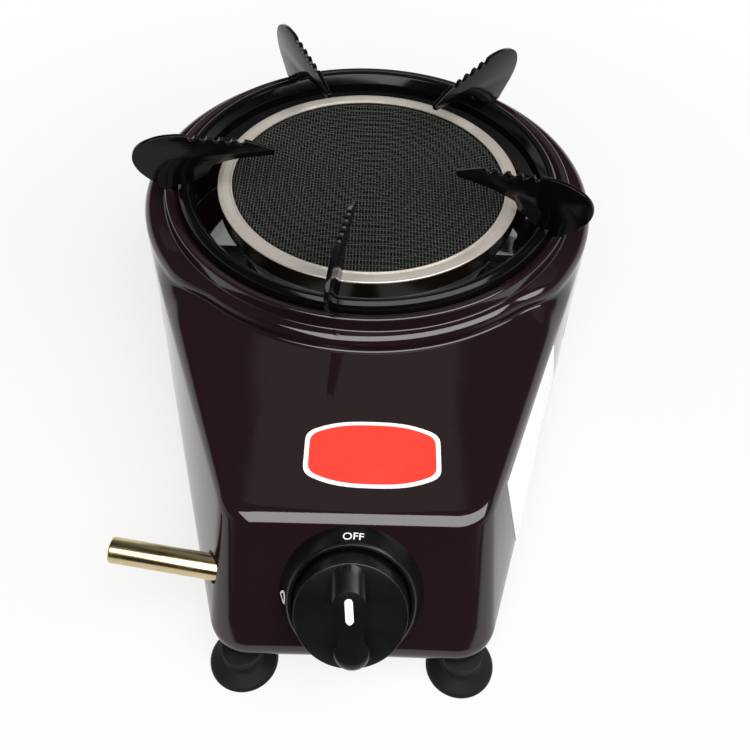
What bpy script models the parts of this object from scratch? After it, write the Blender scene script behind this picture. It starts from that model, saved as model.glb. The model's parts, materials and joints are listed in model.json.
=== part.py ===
"""Single burner gas stove: a stamped, enamelled housing with a round burner drum and a
sloping control panel, a drip tray with five pan supports, a ceramic plate burner under
a wire mesh, and a push-and-turn valve with a piezo igniter.
Metres, +Z up, the front faces -Y. The origin is the centre of the footprint, on the floor."""

import math

import bmesh
import bpy
from mathutils import Vector

# Drip tray around the burner's ring: radii build outwards from the ring
RING_OUTER_R = 0.0702
TRAY_GAP = 0.0097
TRAY_WALL_LEAN = 0.0007
TRAY_RISE_WIDTH = 0.0051
TRAY_FALL_WIDTH = 0.0034
TRAY_LIP_R = RING_OUTER_R + TRAY_GAP
TRAY_WALL_R = TRAY_LIP_R + TRAY_WALL_LEAN
TRAY_CREST_R = TRAY_LIP_R + TRAY_RISE_WIDTH
TRAY_OUTER_R = TRAY_CREST_R + TRAY_FALL_WIDTH

# Housing: radii build outwards from the tray, heights upwards from the bottom edge
SHEET = 0.0010
HOUSING_BOTTOM = 0.0120
BOX_HEIGHT = 0.0490
SHOULDER_RISE = 0.0063
MOUTH_PAST_CREST = 0.0010
RIM_PAST_TRAY = 0.0018
RIM_ROLL = 0.0020
RIM_SHOULDER_WIDTH = 0.0014
RIM_LEAN = 0.0006
STEP_WIDTH = 0.0053
LEDGE_WIDTH = 0.0045
FLANGE_WIDTH = 0.0160
RIM_FOOT_RISE = 0.0006
RIM_WALL_RISE = 0.0036
RIM_CREST_RISE = 0.0015
RIM_INNER_FALL = 0.0008
MOUTH_FALL = 0.0030
BOX_TOP = HOUSING_BOTTOM + BOX_HEIGHT
SHOULDER = BOX_TOP + SHOULDER_RISE
MOUTH_R = TRAY_CREST_R + MOUTH_PAST_CREST
RIM_INNER_R = TRAY_OUTER_R + RIM_PAST_TRAY
RIM_CREST_R = RIM_INNER_R + RIM_ROLL
RIM_WALL_R = RIM_CREST_R + RIM_SHOULDER_WIDTH
RIM_FOOT_R = RIM_WALL_R + RIM_LEAN
STEP_R = RIM_FOOT_R + STEP_WIDTH
DRUM_TOP_R = STEP_R + LEDGE_WIDTH
FLANGE_R = DRUM_TOP_R - FLANGE_WIDTH
RIM_FOOT_Z = SHOULDER + RIM_FOOT_RISE
RIM_WALL_Z = RIM_FOOT_Z + RIM_WALL_RISE
RIM_CREST_Z = RIM_WALL_Z + RIM_CREST_RISE
RIM_INNER_Z = RIM_CREST_Z - RIM_INNER_FALL
MOUTH_Z = RIM_INNER_Z - MOUTH_FALL
RIM_SETBACK = 0.0010
DRUM_LEAN = 0.0014
STEP_START_DEG = 217.5
STEP_END_DEG = 228.0
CORNER_X = 0.0420
CORNER_Y = 0.1620
CORNER_R = 0.0140
CORNER_IN = 0.0051
CORNER_OUT = 0.0355
CORNER_GROWTH = 0.0022
TOP_ROUND = 0.0085
LOWER_ROUND = 0.0064
SHOULDER_ROUND = 0.0030
FOOT_ROUND = 0.0011
EDGE_BLEND = 0.0030
FLANGE_CORNER_IN = 0.0110
FLANGE_CORNER_OUT = 0.0220
FLANGE_CORNER_X = CORNER_X - FLANGE_CORNER_IN
FLANGE_CORNER_Y = CORNER_Y + FLANGE_CORNER_OUT
FLANGE_CORNER_R = 0.0050
DRUM_COLUMNS = 26
CORNER_COLUMNS = 5
FRONT_COLUMNS = 4
SIDE_REAR_SHARES = (0.25, 0.52, 0.78, 1.0)
SIDE_STEP_SHARES = (0.32, 0.60, 1.0)
SIDE_FRONT_SHARES = (0.21, 0.48, 0.78)
VENT_LENGTH = 0.0210
VENT_HEIGHT = 0.0028
VENT_DEPTH = 0.0060
VENT_RISE = 0.0155
VENT_Z = HOUSING_BOTTOM + VENT_RISE
VENT_AZIMUTHS_DEG = (190.5, 209.5)

# Panel and controls: a is up the panel, h is out of it
KNOB_DOWN = 0.02835
KNOB_LEFT = 0.0007
STEM_HOLE_R = 0.0055
KNOB_R = 0.0192
KNOB_DRAFT = 0.0008
DIAL_EDGE_GAP = 0.00175
DIAL_SLOPE = 0.00355
KNOB_FOOT_R = KNOB_R + KNOB_DRAFT
DIAL_EDGE_R = KNOB_FOOT_R + DIAL_EDGE_GAP
DIAL_FOOT_R = DIAL_EDGE_R + DIAL_SLOPE
DIAL_HEIGHT = 0.0082
DIAL_BEVEL = 0.0007
DIAL_LIP = 0.0009
DIAL_WALL = 0.0012
DIAL_FLOOR = 0.0027
DIAL_PLATE = 0.0012
DIAL_BORE_R = 0.0070
KNOB_FACE = 0.0169
KNOB_START = 0.0072
KNOB_WALL = 0.0018
KNOB_CEILING = 0.0023
KNOB_EDGE = 0.0004
HUB_R = 0.0062
GRIP_RISE = 0.0061
GRIP_TOP = KNOB_FACE + GRIP_RISE
GRIP_LOW_INSET = 0.0014
GRIP_HIGH_INSET = 0.0071
GRIP_LOW = KNOB_R - GRIP_LOW_INSET
GRIP_HIGH = KNOB_R - GRIP_HIGH_INSET
GRIP_RAMP_INSET = 0.0003
GRIP_ROUND = 0.0040
GRIP_HALF_END = 0.0059
GRIP_HALF_WAIST = 0.0044
GRIP_WAIST_AT = -0.0035
GRIP_WAIST_SPAN = 0.0080
GRIP_ROOT = 0.0012
STEM_R = 0.0030
STEM_FLAT = 0.0022
STEM_TOP_GAP = 0.0006
STEM_CLEAR = 0.0003
STEM_LENGTH_IN = 0.0085
TONGUE_LENGTH = 0.0048
TONGUE_HALF = 0.0008
TONGUE_WIDE = 0.0024

# Valve
GAP = 0.0003
VALVE_PLATE = 0.0020
VALVE_PLATE_LEFT = 0.0185
VALVE_PLATE_RIGHT = 0.0275
VALVE_PLATE_HALF = 0.0068
VALVE_R = 0.0080
VALVE_LENGTH = 0.0200
VALVE_NECK = 0.0040
VALVE_NECK_R = 0.0034
VALVE_CHAMBER_R = 0.0056
VALVE_CHAMBER_END = 0.0118
PLUG_TOP_R = 0.0050
PLUG_TIP_R = 0.0042
PLUG_LENGTH = 0.0060
PLUG_SLOT_DEPTH = 0.0048
PLUG_SLOT_HALF = 0.0012
VALVE_SCREW_AT = 0.0142
VALVE_SCREW_HOLE_R = 0.0019
SCREW_R = 0.0015
SCREW_HEAD_R = 0.0030
SCREW_HEAD = 0.0015
SCREW_LENGTH = 0.0040
COLLAR_R = 0.0052
COLLAR_THICK = 0.0010
COLLAR_DEPTH = 0.0048
SPRING_WIRE_R = 0.0003
SPRING_R = 0.0046
SPRING_TURNS = 2
SPRING_PITCH = 0.0010
PIEZO_AT = 0.0215
PIEZO_R = 0.0048
PIEZO_LENGTH = 0.0165
PIEZO_NOSE_R = 0.0022
PIEZO_NOSE = 0.0030

# Gas inlet
TAIL_SIDE = 0.0150
TAIL_TO_PANEL = 0.0140
TAIL_HEIGHT = 0.0230
TAIL_X = CORNER_X + TAIL_SIDE
TAIL_Z = HOUSING_BOTTOM + TAIL_HEIGHT
TAIL_AZIMUTH_DEG = 6.0
TAIL_RISE_DEG = 5.5
TAIL_R = 0.00475
TAIL_BORE_R = 0.00325
TAIL_OUT = 0.0315
TAIL_CHAMFER = 0.0008
TAIL_ROOT = 0.0370
TAIL_HOLE_R = 0.0058
INLET_R = 0.0055
INLET_LENGTH = 0.0180
NUT_R = 0.0078
NUT_LENGTH = 0.0070
NUT_SETBACK = 0.0006

# Burner: radii build inwards from the ring, heights down from the bowl's flange
RING_WIDTH = 0.0066
RING_CROWN_IN = 0.0027
RING_SHEET = 0.0006
RING_RISE = 0.0013
RING_DEPTH = 0.0092
FLANGE_IN = 0.0009
BOWL_SHEET = 0.0012
BOWL_IN = 0.0032
LEDGE_IN = 0.0050
WAIST_IN = 0.0020
FLOOR_IN = 0.0060
FLANGE_OVER_SHOULDER = 0.0026
LEDGE_FALL = 0.0159
WAIST_FALL = 0.0160
FLOOR_FALL = 0.0085
BOWL_FLANGE_R = RING_OUTER_R - FLANGE_IN
BOWL_R = RING_OUTER_R - BOWL_IN
BOWL_LEDGE_R = BOWL_R - LEDGE_IN
BOWL_WAIST_R = BOWL_LEDGE_R - WAIST_IN
BOWL_FLOOR_R = BOWL_WAIST_R - FLOOR_IN
BOWL_FLANGE_Z = SHOULDER + FLANGE_OVER_SHOULDER
BOWL_LEDGE_Z = BOWL_FLANGE_Z - LEDGE_FALL
BOWL_WAIST_Z = BOWL_LEDGE_Z - WAIST_FALL
BOWL_FLOOR_Z = BOWL_WAIST_Z - FLOOR_FALL
RING_INNER_R = RING_OUTER_R - RING_WIDTH
RING_CROWN_R = RING_OUTER_R - RING_CROWN_IN
RING_CROWN = BOWL_FLANGE_Z + RING_RISE
RING_SKIRT_Z = RING_CROWN - RING_DEPTH
GASKET_THICK = 0.0010
GASKET_WIDTH = 0.0040
PLATE_IN = 0.0018
PLATE_UNDER_FLANGE = 0.0010
PLATE_R = BOWL_R - PLATE_IN
PLATE_TOP = BOWL_FLANGE_Z - PLATE_UNDER_FLANGE
MESH_THICK = 0.0008
MESH_RIDGE = 0.0004
MESH_RIDGES = 4
TUBE_R = 0.0110
TUBE_WALL = 0.0010
TUBE_INSERTION = 0.0040
TUBE_OVER_WAIST = 0.0040
OUTLET_PAST_CORNER = 0.0105
MOUTH_BEFORE_OUTLET = 0.0225
BELL_LENGTH = 0.0100
BURNER_Z = BOWL_WAIST_Z + TUBE_OVER_WAIST
OUTLET_Y = CORNER_Y + OUTLET_PAST_CORNER
TUBE_END = BOWL_FLOOR_R - TUBE_INSERTION
TUBE_MOUTH = OUTLET_Y - MOUTH_BEFORE_OUTLET
TUBE_THROAT = TUBE_MOUTH - BELL_LENGTH
MOUTH_BELL_R = 0.0160
MOUTH_PLATE = 0.0012
AIR_OPENING_IN = 0.0065
AIR_OPENING_OUT = 0.0125
SHUTTER_R = 0.0155
SHUTTER_THICK = 0.0010
SHUTTER_TAB = 0.0060
SHUTTER_TAB_HALF = 0.0030
INJECTOR_R = 0.0040
INJECTOR_CLEAR = 0.0003
INJECTOR_REACH = 0.0060
INJECTOR_TIP = TUBE_MOUTH - INJECTOR_REACH
ELBOW_R = 0.0045
ELBOW_HALF = 0.0048
ELBOW_TOP = BURNER_Z + ELBOW_HALF
HEX_R = 0.0060
HEX_LENGTH = 0.0050
OUTLET_R = 0.0050
OUTLET_LENGTH = 0.0092
OUTLET_TOP = BURNER_Z - ELBOW_HALF
OUTLET_ROOT = OUTLET_TOP - OUTLET_LENGTH

# Igniter lead and electrode
ELECTRODE_DEG = 343.0
ELECTRODE_TO_TRAY = 0.0044
ELECTRODE_AT = TRAY_LIP_R - ELECTRODE_TO_TRAY
ELECTRODE_R = 0.00275
ELECTRODE_LENGTH = 0.0280
ELECTRODE_BELOW_PLATE = 0.0009
ELECTRODE_HIGH = PLATE_TOP - ELECTRODE_BELOW_PLATE
ELECTRODE_LOW = ELECTRODE_HIGH - ELECTRODE_LENGTH
ELECTRODE_COLLAR_R = 0.0038
ELECTRODE_COLLAR = 0.0025
WIRE_R = 0.0007
WIRE_HEIGHT = 0.0065
WIRE_TOP = ELECTRODE_HIGH + WIRE_HEIGHT
WIRE_REACH = 0.0050
LEAD_R = 0.0011
TAB_THICK = 0.0012
TAB_HALF = 0.0060
TAB_BELOW_LEDGE = 0.0040
TAB_PAST_ELECTRODE = 0.0045
TAB_Z = BOWL_LEDGE_Z - TAB_BELOW_LEDGE
TAB_OUT = ELECTRODE_AT + TAB_PAST_ELECTRODE

# Drip tray's heights and pan supports
TRAY_LIP_FALL = 0.0022
TRAY_WALL_RISE = 0.0018
TRAY_CREST_RISE = 0.0026
TRAY_OUTER_FALL = 0.0008
TRAY_LIP_Z = MOUTH_Z - TRAY_LIP_FALL
TRAY_WALL_Z = MOUTH_Z + TRAY_WALL_RISE
TRAY_CREST_Z = RIM_CREST_Z + TRAY_CREST_RISE
TRAY_OUTER_Z = RIM_INNER_Z - TRAY_OUTER_FALL
TRAY_ROUND = 0.0022
TRAY_SHEET = 0.0010
PRONG_COUNT = 5
PRONG_FIRST_DEG = 262.3
PRONG_THICK = 0.0020
PRONG_REACH = 0.0621
PRONG_RISE = 0.0258
PRONG_NOTCH = 0.0020
PRONG_NOTCHES = 5
PRONG_CREST_SHARE = 0.6828
PRONG_TIP_R = TRAY_CREST_R - PRONG_REACH * PRONG_CREST_SHARE
PRONG_ARM_SHARES = ((0.000, 0.589), (0.005, 0.535), (0.032, 0.488), (0.200, 0.481), (0.312, 0.453),
                    (0.401, 0.403), (0.457, 0.364), (0.483, 0.240))
PRONG_FOOT_SHARES = ((0.601, 0.066), (0.643, 0.027), (0.683, 0.016), (0.725, 0.012), (0.750, -0.031))
PRONG_SKIRT_SHARES = ((0.765, -0.070), (0.815, -0.070), (0.844, 0.012), (0.884, 0.109))
PRONG_LOBE_SHARES = ((0.924, 0.209), (0.950, 0.283), (0.973, 0.364), (0.990, 0.457), (1.000, 0.558),
                     (0.997, 0.655), (0.981, 0.752), (0.955, 0.829), (0.916, 0.895), (0.873, 0.938),
                     (0.818, 0.977), (0.763, 0.996), (0.715, 1.000), (0.673, 1.000), (0.625, 0.984))
PRONG_NOTCH_END_SHARES = (0.196, 0.798)
PRONG_NOSE_SHARES = ((0.158, 0.764), (0.095, 0.698), (0.047, 0.643), (0.011, 0.605))
NOTCH_SHARES = ((0.18, 0.0), (0.32, 0.8), (0.50, 1.0), (0.68, 0.8), (0.82, 0.0))

# Strap under the burner, feet and screws
STRAP_HALF = 0.0130
STRAP_THICK = 0.0015
STRAP_TO_WALL = 0.0065
STRAP_END = 0.0050
STEP_PAST_BOWL = 0.0080
STEP_UNDER_BOWL = 0.0100
BOWL_SCREW_IN = 0.0240
STRAP_REACH = DRUM_TOP_R - STRAP_TO_WALL
STRAP_SCREW_AT = STRAP_REACH - STRAP_END
STRAP_STEP_OUT = BOWL_FLOOR_R + STEP_PAST_BOWL
STRAP_STEP_IN = BOWL_FLOOR_R - STEP_UNDER_BOWL
BOWL_SCREW_AT = BOWL_FLOOR_R - BOWL_SCREW_IN
HOLE_R = 0.0019
FOOT_IN = 0.0015
FOOT_OUT = 0.0405
REAR_FOOT_IN = 0.0105
FOOT_X = CORNER_X - FOOT_IN
FOOT_Y = CORNER_Y + FOOT_OUT
REAR_FOOT_AT = DRUM_TOP_R - REAR_FOOT_IN
REAR_FOOT_DEG = 45.0
FOOT_STEM_R = 0.0080
FOOT_BASE_R = 0.0127
FOOT_STEM_Z = 0.0042
FOOT_EDGE = 0.0008
FOOT_DISH_Z = 0.0018
FOOT_RECESS_R = 0.0036
FOOT_RECESS_Z = 0.0036
FOOT_SCREW_PAST = 0.0030
STRAP_SCREW_LENGTH = 0.0050

# Facets and overruns
ROUND_STEPS = 40
SMALL_STEPS = 16
SCREW_STEPS = 10
OVERRUN = 0.0020
WELD = 0.00002
SMOOTH_DEG = 35.0

# Derived places
LOWER_CORNER_X = CORNER_X - CORNER_IN
LOWER_CORNER_R = CORNER_R + CORNER_GROWTH
TOP_FRONT = CORNER_Y + CORNER_R
LOWER_FRONT = CORNER_Y + CORNER_OUT + LOWER_CORNER_R
TAIL_Y = TOP_FRONT + (LOWER_FRONT - TOP_FRONT) * (BOX_TOP - TAIL_Z) / BOX_HEIGHT - TAIL_TO_PANEL
PANEL_LEAN = math.atan2(LOWER_FRONT - TOP_FRONT, BOX_TOP - HOUSING_BOTTOM)
PANEL_OUT = Vector((0, -math.cos(PANEL_LEAN), math.sin(PANEL_LEAN)))
PANEL_UP = Vector((0, math.sin(PANEL_LEAN), math.cos(PANEL_LEAN)))
KNOB_POINT = Vector((-KNOB_LEFT, -TOP_FRONT, BOX_TOP)) - KNOB_DOWN * PANEL_UP
GRIP_ROUND_AT = -(GRIP_LOW - GRIP_ROUND)
GRIP_FRONT = KNOB_POINT + GRIP_ROUND_AT * PANEL_UP + (GRIP_TOP - GRIP_ROUND) * PANEL_OUT
FRONT_REACH = -GRIP_FRONT.y + GRIP_ROUND
REAR_REACH = DRUM_TOP_R + DRUM_LEAN
BURNER_Y = (FRONT_REACH - REAR_REACH) / 2
INNER_FLOOR = HOUSING_BOTTOM + SHEET
TAIL_DIRECTION = Vector((
    -math.cos(math.radians(TAIL_AZIMUTH_DEG)) * math.cos(math.radians(TAIL_RISE_DEG)),
    math.sin(math.radians(TAIL_AZIMUTH_DEG)) * math.cos(math.radians(TAIL_RISE_DEG)),
    math.sin(math.radians(TAIL_RISE_DEG)),
))
TAIL_WALL = Vector((-TAIL_X, -TAIL_Y, TAIL_Z))
FEET = {
    "foot_front_left": (-FOOT_X, -FOOT_Y),
    "foot_front_right": (FOOT_X, -FOOT_Y),
    "foot_rear_left": (
        -REAR_FOOT_AT * math.cos(math.radians(REAR_FOOT_DEG)),
        REAR_FOOT_AT * math.sin(math.radians(REAR_FOOT_DEG)),
    ),
    "foot_rear_right": (
        REAR_FOOT_AT * math.cos(math.radians(REAR_FOOT_DEG)),
        REAR_FOOT_AT * math.sin(math.radians(REAR_FOOT_DEG)),
    ),
}

for old in list(bpy.data.objects):
    bpy.data.objects.remove(old, do_unlink=True)

parts = bpy.data.collections.new("single_burner_gas_stove")
cutters = bpy.data.collections.new("cutters")
bpy.context.scene.collection.children.link(parts)
bpy.context.scene.collection.children.link(cutters)


def material(name, colour, roughness, metallic):
    made = bpy.data.materials.new(name)
    made.use_nodes = True
    shader = made.node_tree.nodes["Principled BSDF"]
    shader.inputs["Base Color"].default_value = (*colour, 1)
    shader.inputs["Roughness"].default_value = roughness
    shader.inputs["Metallic"].default_value = metallic
    made.diffuse_color = (*colour, 1)
    return made


ENAMEL = material("housing_enamel", (0.035, 0.016, 0.018), 0.18, 0.0)
BLACK_ENAMEL = material("black_enamel", (0.008, 0.008, 0.008), 0.15, 0.0)
PLASTIC = material("dark_plastic", (0.012, 0.013, 0.013), 0.40, 0.0)
RUBBER = material("grey_rubber", (0.014, 0.014, 0.015), 0.60, 0.0)
STEEL = material("steel", (0.55, 0.55, 0.56), 0.30, 1.0)
MESH_STEEL = material("mesh_steel", (0.10, 0.095, 0.10), 0.45, 1.0)
BRASS = material("brass", (0.72, 0.52, 0.22), 0.30, 1.0)
ZINC = material("yellow_zinc", (0.70, 0.58, 0.34), 0.28, 1.0)
ALUMINIUM = material("cast_aluminium", (0.62, 0.62, 0.63), 0.40, 1.0)
CERAMIC = material("ceramic", (0.80, 0.76, 0.68), 0.75, 0.0)
FIBRE = material("fibre_gasket", (0.66, 0.64, 0.60), 0.90, 0.0)
IGNITER = material("igniter_plastic", (0.03, 0.03, 0.032), 0.40, 0.0)
LEAD = material("lead_sleeve", (0.62, 0.10, 0.06), 0.55, 0.0)


def empty(name, location, turn, parent):
    made = bpy.data.objects.new(name, None)
    parts.objects.link(made)
    made.location = location
    made.rotation_euler = turn
    made.parent = parent
    return made


stove = empty("stove", (0, BURNER_Y, 0), (0, 0, 0), None)
control = empty("control_axis", KNOB_POINT, (math.pi / 2 - PANEL_LEAN, 0, 0), stove)
lift = empty("pan_support_axis", (0, 0, 0), (0, 0, 0), stove)
gas_line = empty("gas_line_axis", (0, 0, BURNER_Z), (math.pi / 2, 0, 0), stove)
tail_axis = empty("tail_axis", TAIL_WALL, (0, 0, 0), stove)
tail_axis.rotation_euler = TAIL_DIRECTION.to_track_quat("Z", "Y").to_euler()


def finish(obj, looks, parent, smooth=True):
    if looks is not None:
        obj.data.materials.append(looks)
        parts.objects.link(obj)
    else:
        cutters.objects.link(obj)
        obj.hide_render = True
        obj.display_type = "WIRE"
    obj.parent = parent
    if smooth and obj.type == "MESH":
        obj.data.shade_smooth()
        obj.data.set_sharp_from_angle(angle=math.radians(SMOOTH_DEG))
    return obj


def mesh_object(name, points, faces, looks, parent, smooth=True):
    mesh = bpy.data.meshes.new(name)
    mesh.from_pydata([tuple(point) for point in points], [], faces)
    mesh.update()
    return finish(bpy.data.objects.new(name, mesh), looks, parent, smooth)


def turned(name, profile, steps, looks, parent, closed=False):
    """A profile of (radius, height) points, outer side from top to bottom, turned about Z."""
    count = len(profile)
    edges = [(i, i + 1) for i in range(count - 1)]
    if closed:
        edges.append((count - 1, 0))
    mesh = bpy.data.meshes.new(name)
    mesh.from_pydata([(r, 0, z) for r, z in profile], edges, [])
    obj = finish(bpy.data.objects.new(name, mesh), looks, parent, False)
    screw = obj.modifiers.new("Turn", "SCREW")
    screw.axis = "Z"
    screw.steps = steps
    screw.render_steps = steps
    screw.use_merge_vertices = True
    screw.merge_threshold = WELD
    screw.use_smooth_shade = True
    return obj


def shell(obj, thickness):
    solid = obj.modifiers.new("Sheet", "SOLIDIFY")
    solid.thickness = thickness
    solid.offset = -1
    solid.use_even_offset = True
    return obj


def place(obj, location, turn=(0, 0, 0)):
    obj.location = location
    obj.rotation_euler = turn
    return obj


def block(name, size, looks, parent):
    mesh = bpy.data.meshes.new(name)
    build = bmesh.new()
    bmesh.ops.create_cube(build, size=1)
    bmesh.ops.scale(build, vec=size, verts=build.verts)
    build.to_mesh(mesh)
    build.free()
    return finish(bpy.data.objects.new(name, mesh), looks, parent, False)


def cylinder(name, low_r, high_r, low, high, steps, looks, parent):
    """A cylinder or cone along Z from height low to height high."""
    mesh = bpy.data.meshes.new(name)
    build = bmesh.new()
    bmesh.ops.create_cone(
        build, cap_ends=True, segments=steps, radius1=low_r, radius2=high_r, depth=high - low
    )
    bmesh.ops.translate(build, vec=(0, 0, (high + low) / 2), verts=build.verts)
    build.to_mesh(mesh)
    build.free()
    return finish(bpy.data.objects.new(name, mesh), looks, parent)


def flat_curve(name, outline, thickness, looks, parent):
    """A flat outline in XY with its thickness along Z, made a mesh."""
    curve = bpy.data.curves.new(name, "CURVE")
    curve.dimensions = "2D"
    curve.fill_mode = "BOTH"
    curve.extrude = thickness / 2
    line = curve.splines.new("POLY")
    line.points.add(len(outline) - 1)
    for point, (x, y) in zip(line.points, outline):
        point.co = (x, y, 0, 1)
    line.use_cyclic_u = True
    return curve_to_mesh(bpy.data.objects.new(name, curve), looks, parent)


def wire(name, points, radius, looks, parent):
    curve = bpy.data.curves.new(name, "CURVE")
    curve.dimensions = "3D"
    curve.bevel_depth = radius
    curve.bevel_resolution = 1
    curve.use_fill_caps = True
    line = curve.splines.new("POLY")
    line.points.add(len(points) - 1)
    for point, place_at in zip(line.points, points):
        point.co = (*place_at, 1)
    return curve_to_mesh(bpy.data.objects.new(name, curve), looks, parent)


def curve_to_mesh(drawn, looks, parent):
    parts.objects.link(drawn)
    bpy.context.view_layer.update()
    graph = bpy.context.evaluated_depsgraph_get()
    mesh = bpy.data.meshes.new_from_object(drawn.evaluated_get(graph))
    curve = drawn.data
    name = drawn.name
    bpy.data.objects.remove(drawn, do_unlink=True)
    bpy.data.curves.remove(curve)
    build = bmesh.new()
    build.from_mesh(mesh)
    bmesh.ops.remove_doubles(build, verts=build.verts, dist=WELD / 2)
    bmesh.ops.recalc_face_normals(build, faces=build.faces)
    build.to_mesh(mesh)
    build.free()
    mesh.materials.clear()
    return finish(bpy.data.objects.new(name, mesh), looks, parent)


def combine(obj, other, operation):
    change = obj.modifiers.new(other.name, "BOOLEAN")
    change.operation = operation
    change.object = other
    change.solver = "EXACT"
    return obj


def cut(obj, cutter):
    return combine(obj, cutter, "DIFFERENCE")


def join(obj, other):
    return combine(obj, other, "UNION")


def polar(radius, degrees, height):
    angle = math.radians(degrees)
    return Vector((radius * math.cos(angle), radius * math.sin(angle), height))


def mix(first, second, share):
    return first + (second - first) * share


def smooth_share(share):
    held = min(max(share, 0), 1)
    return held * held * (3 - 2 * held)


def arc_points(centre, radius, first_deg, last_deg, count):
    spots = []
    for i in range(count + 1):
        angle = math.radians(mix(first_deg, last_deg, i / count))
        spots.append((centre[0] + radius * math.cos(angle), centre[1] + radius * math.sin(angle)))
    return spots


# Housing: every column runs from the flange's inner edge, up the wall, to the mouth
def side_normal(drum_r, corner_x, corner_y, corner_r):
    """Azimuth of the normal of the straight side between the drum and the right corner."""
    away = math.hypot(corner_x, corner_y)
    return math.atan2(-corner_y, corner_x) + math.acos((drum_r - corner_r) / away)


def outline(column, drum_r, corner_x, corner_y, corner_r):
    """A point of the outline, seen from above. A column is its stretch and its share of it."""
    kind, share = column
    normal = side_normal(drum_r, corner_x, corner_y, corner_r)
    out = Vector((math.cos(normal), math.sin(normal)))
    start = drum_r * out
    end = Vector((corner_x, -corner_y)) + corner_r * out
    if kind == "drum":
        angle = mix(normal, math.pi - normal, share)
        return drum_r * Vector((math.cos(angle), math.sin(angle)))
    if kind == "front":
        return Vector((mix(-corner_x, corner_x, share), -corner_y - corner_r))
    if kind in ("left_side", "right_side"):
        spot = mix(start, end, share)
    else:
        angle = mix(normal, -math.pi / 2, share)
        spot = Vector((corner_x, -corner_y)) + corner_r * Vector((math.cos(angle), math.sin(angle)))
    if kind.startswith("left"):
        return Vector((-spot.x, spot.y))
    return spot


def side_shares():
    """Shares along the top's straight side: its points are closest where the ledge begins."""
    length = math.sqrt(CORNER_X ** 2 + CORNER_Y ** 2 - (DRUM_TOP_R - CORNER_R) ** 2)
    rear = 180 - math.degrees(side_normal(DRUM_TOP_R, CORNER_X, CORNER_Y, CORNER_R))
    front = rear + math.degrees(math.atan(length / DRUM_TOP_R))
    azimuths = [mix(rear, STEP_START_DEG, share) for share in SIDE_REAR_SHARES]
    azimuths += [mix(STEP_START_DEG, STEP_END_DEG, share) for share in SIDE_STEP_SHARES]
    azimuths += [mix(STEP_END_DEG, front, share) for share in SIDE_FRONT_SHARES]
    return [DRUM_TOP_R * math.tan(math.radians(azimuth - rear)) / length for azimuth in azimuths]


def wall_reach(azimuth):
    """Distance from the burner's axis to the drum, or to the straight side that carries on from it."""
    past = math.radians(abs(azimuth - 180)) + side_normal(DRUM_TOP_R, CORNER_X, CORNER_Y, CORNER_R)
    return DRUM_TOP_R / math.cos(max(past, 0))


def step_radius(azimuth):
    """Radius of the drum's upper wall: it steps in over the front of the stove."""
    past = abs(math.degrees(azimuth + math.pi / 2))
    first = 270 - STEP_START_DEG
    last = 270 - STEP_END_DEG
    return mix(DRUM_TOP_R, STEP_R, smooth_share((first - past) / (first - last)))


def fillet(corner, first_way, second_way, radius, turn):
    """The fillet's point after a turn that starts on the first way and ends on the second."""
    half = first_way.angle(second_way) / 2
    reach = radius / math.tan(half)
    centre = corner + (first_way + second_way).normalized() * (radius / math.sin(half))
    start = corner + first_way * reach
    spoke = (start - centre).normalized()
    return centre + radius * (math.cos(turn) * spoke - math.sin(turn) * first_way)


def turn_at(corner, first_way, second_way, radius, reach):
    """The turn at which the fillet lies a given reach inward of its corner."""
    low = 0
    high = math.pi - first_way.angle(second_way)
    for _ in range(40):
        middle = (low + high) / 2
        if (fillet(corner, first_way, second_way, radius, middle) - corner).dot(second_way) < reach:
            low = middle
        else:
            high = middle
    return low


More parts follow.
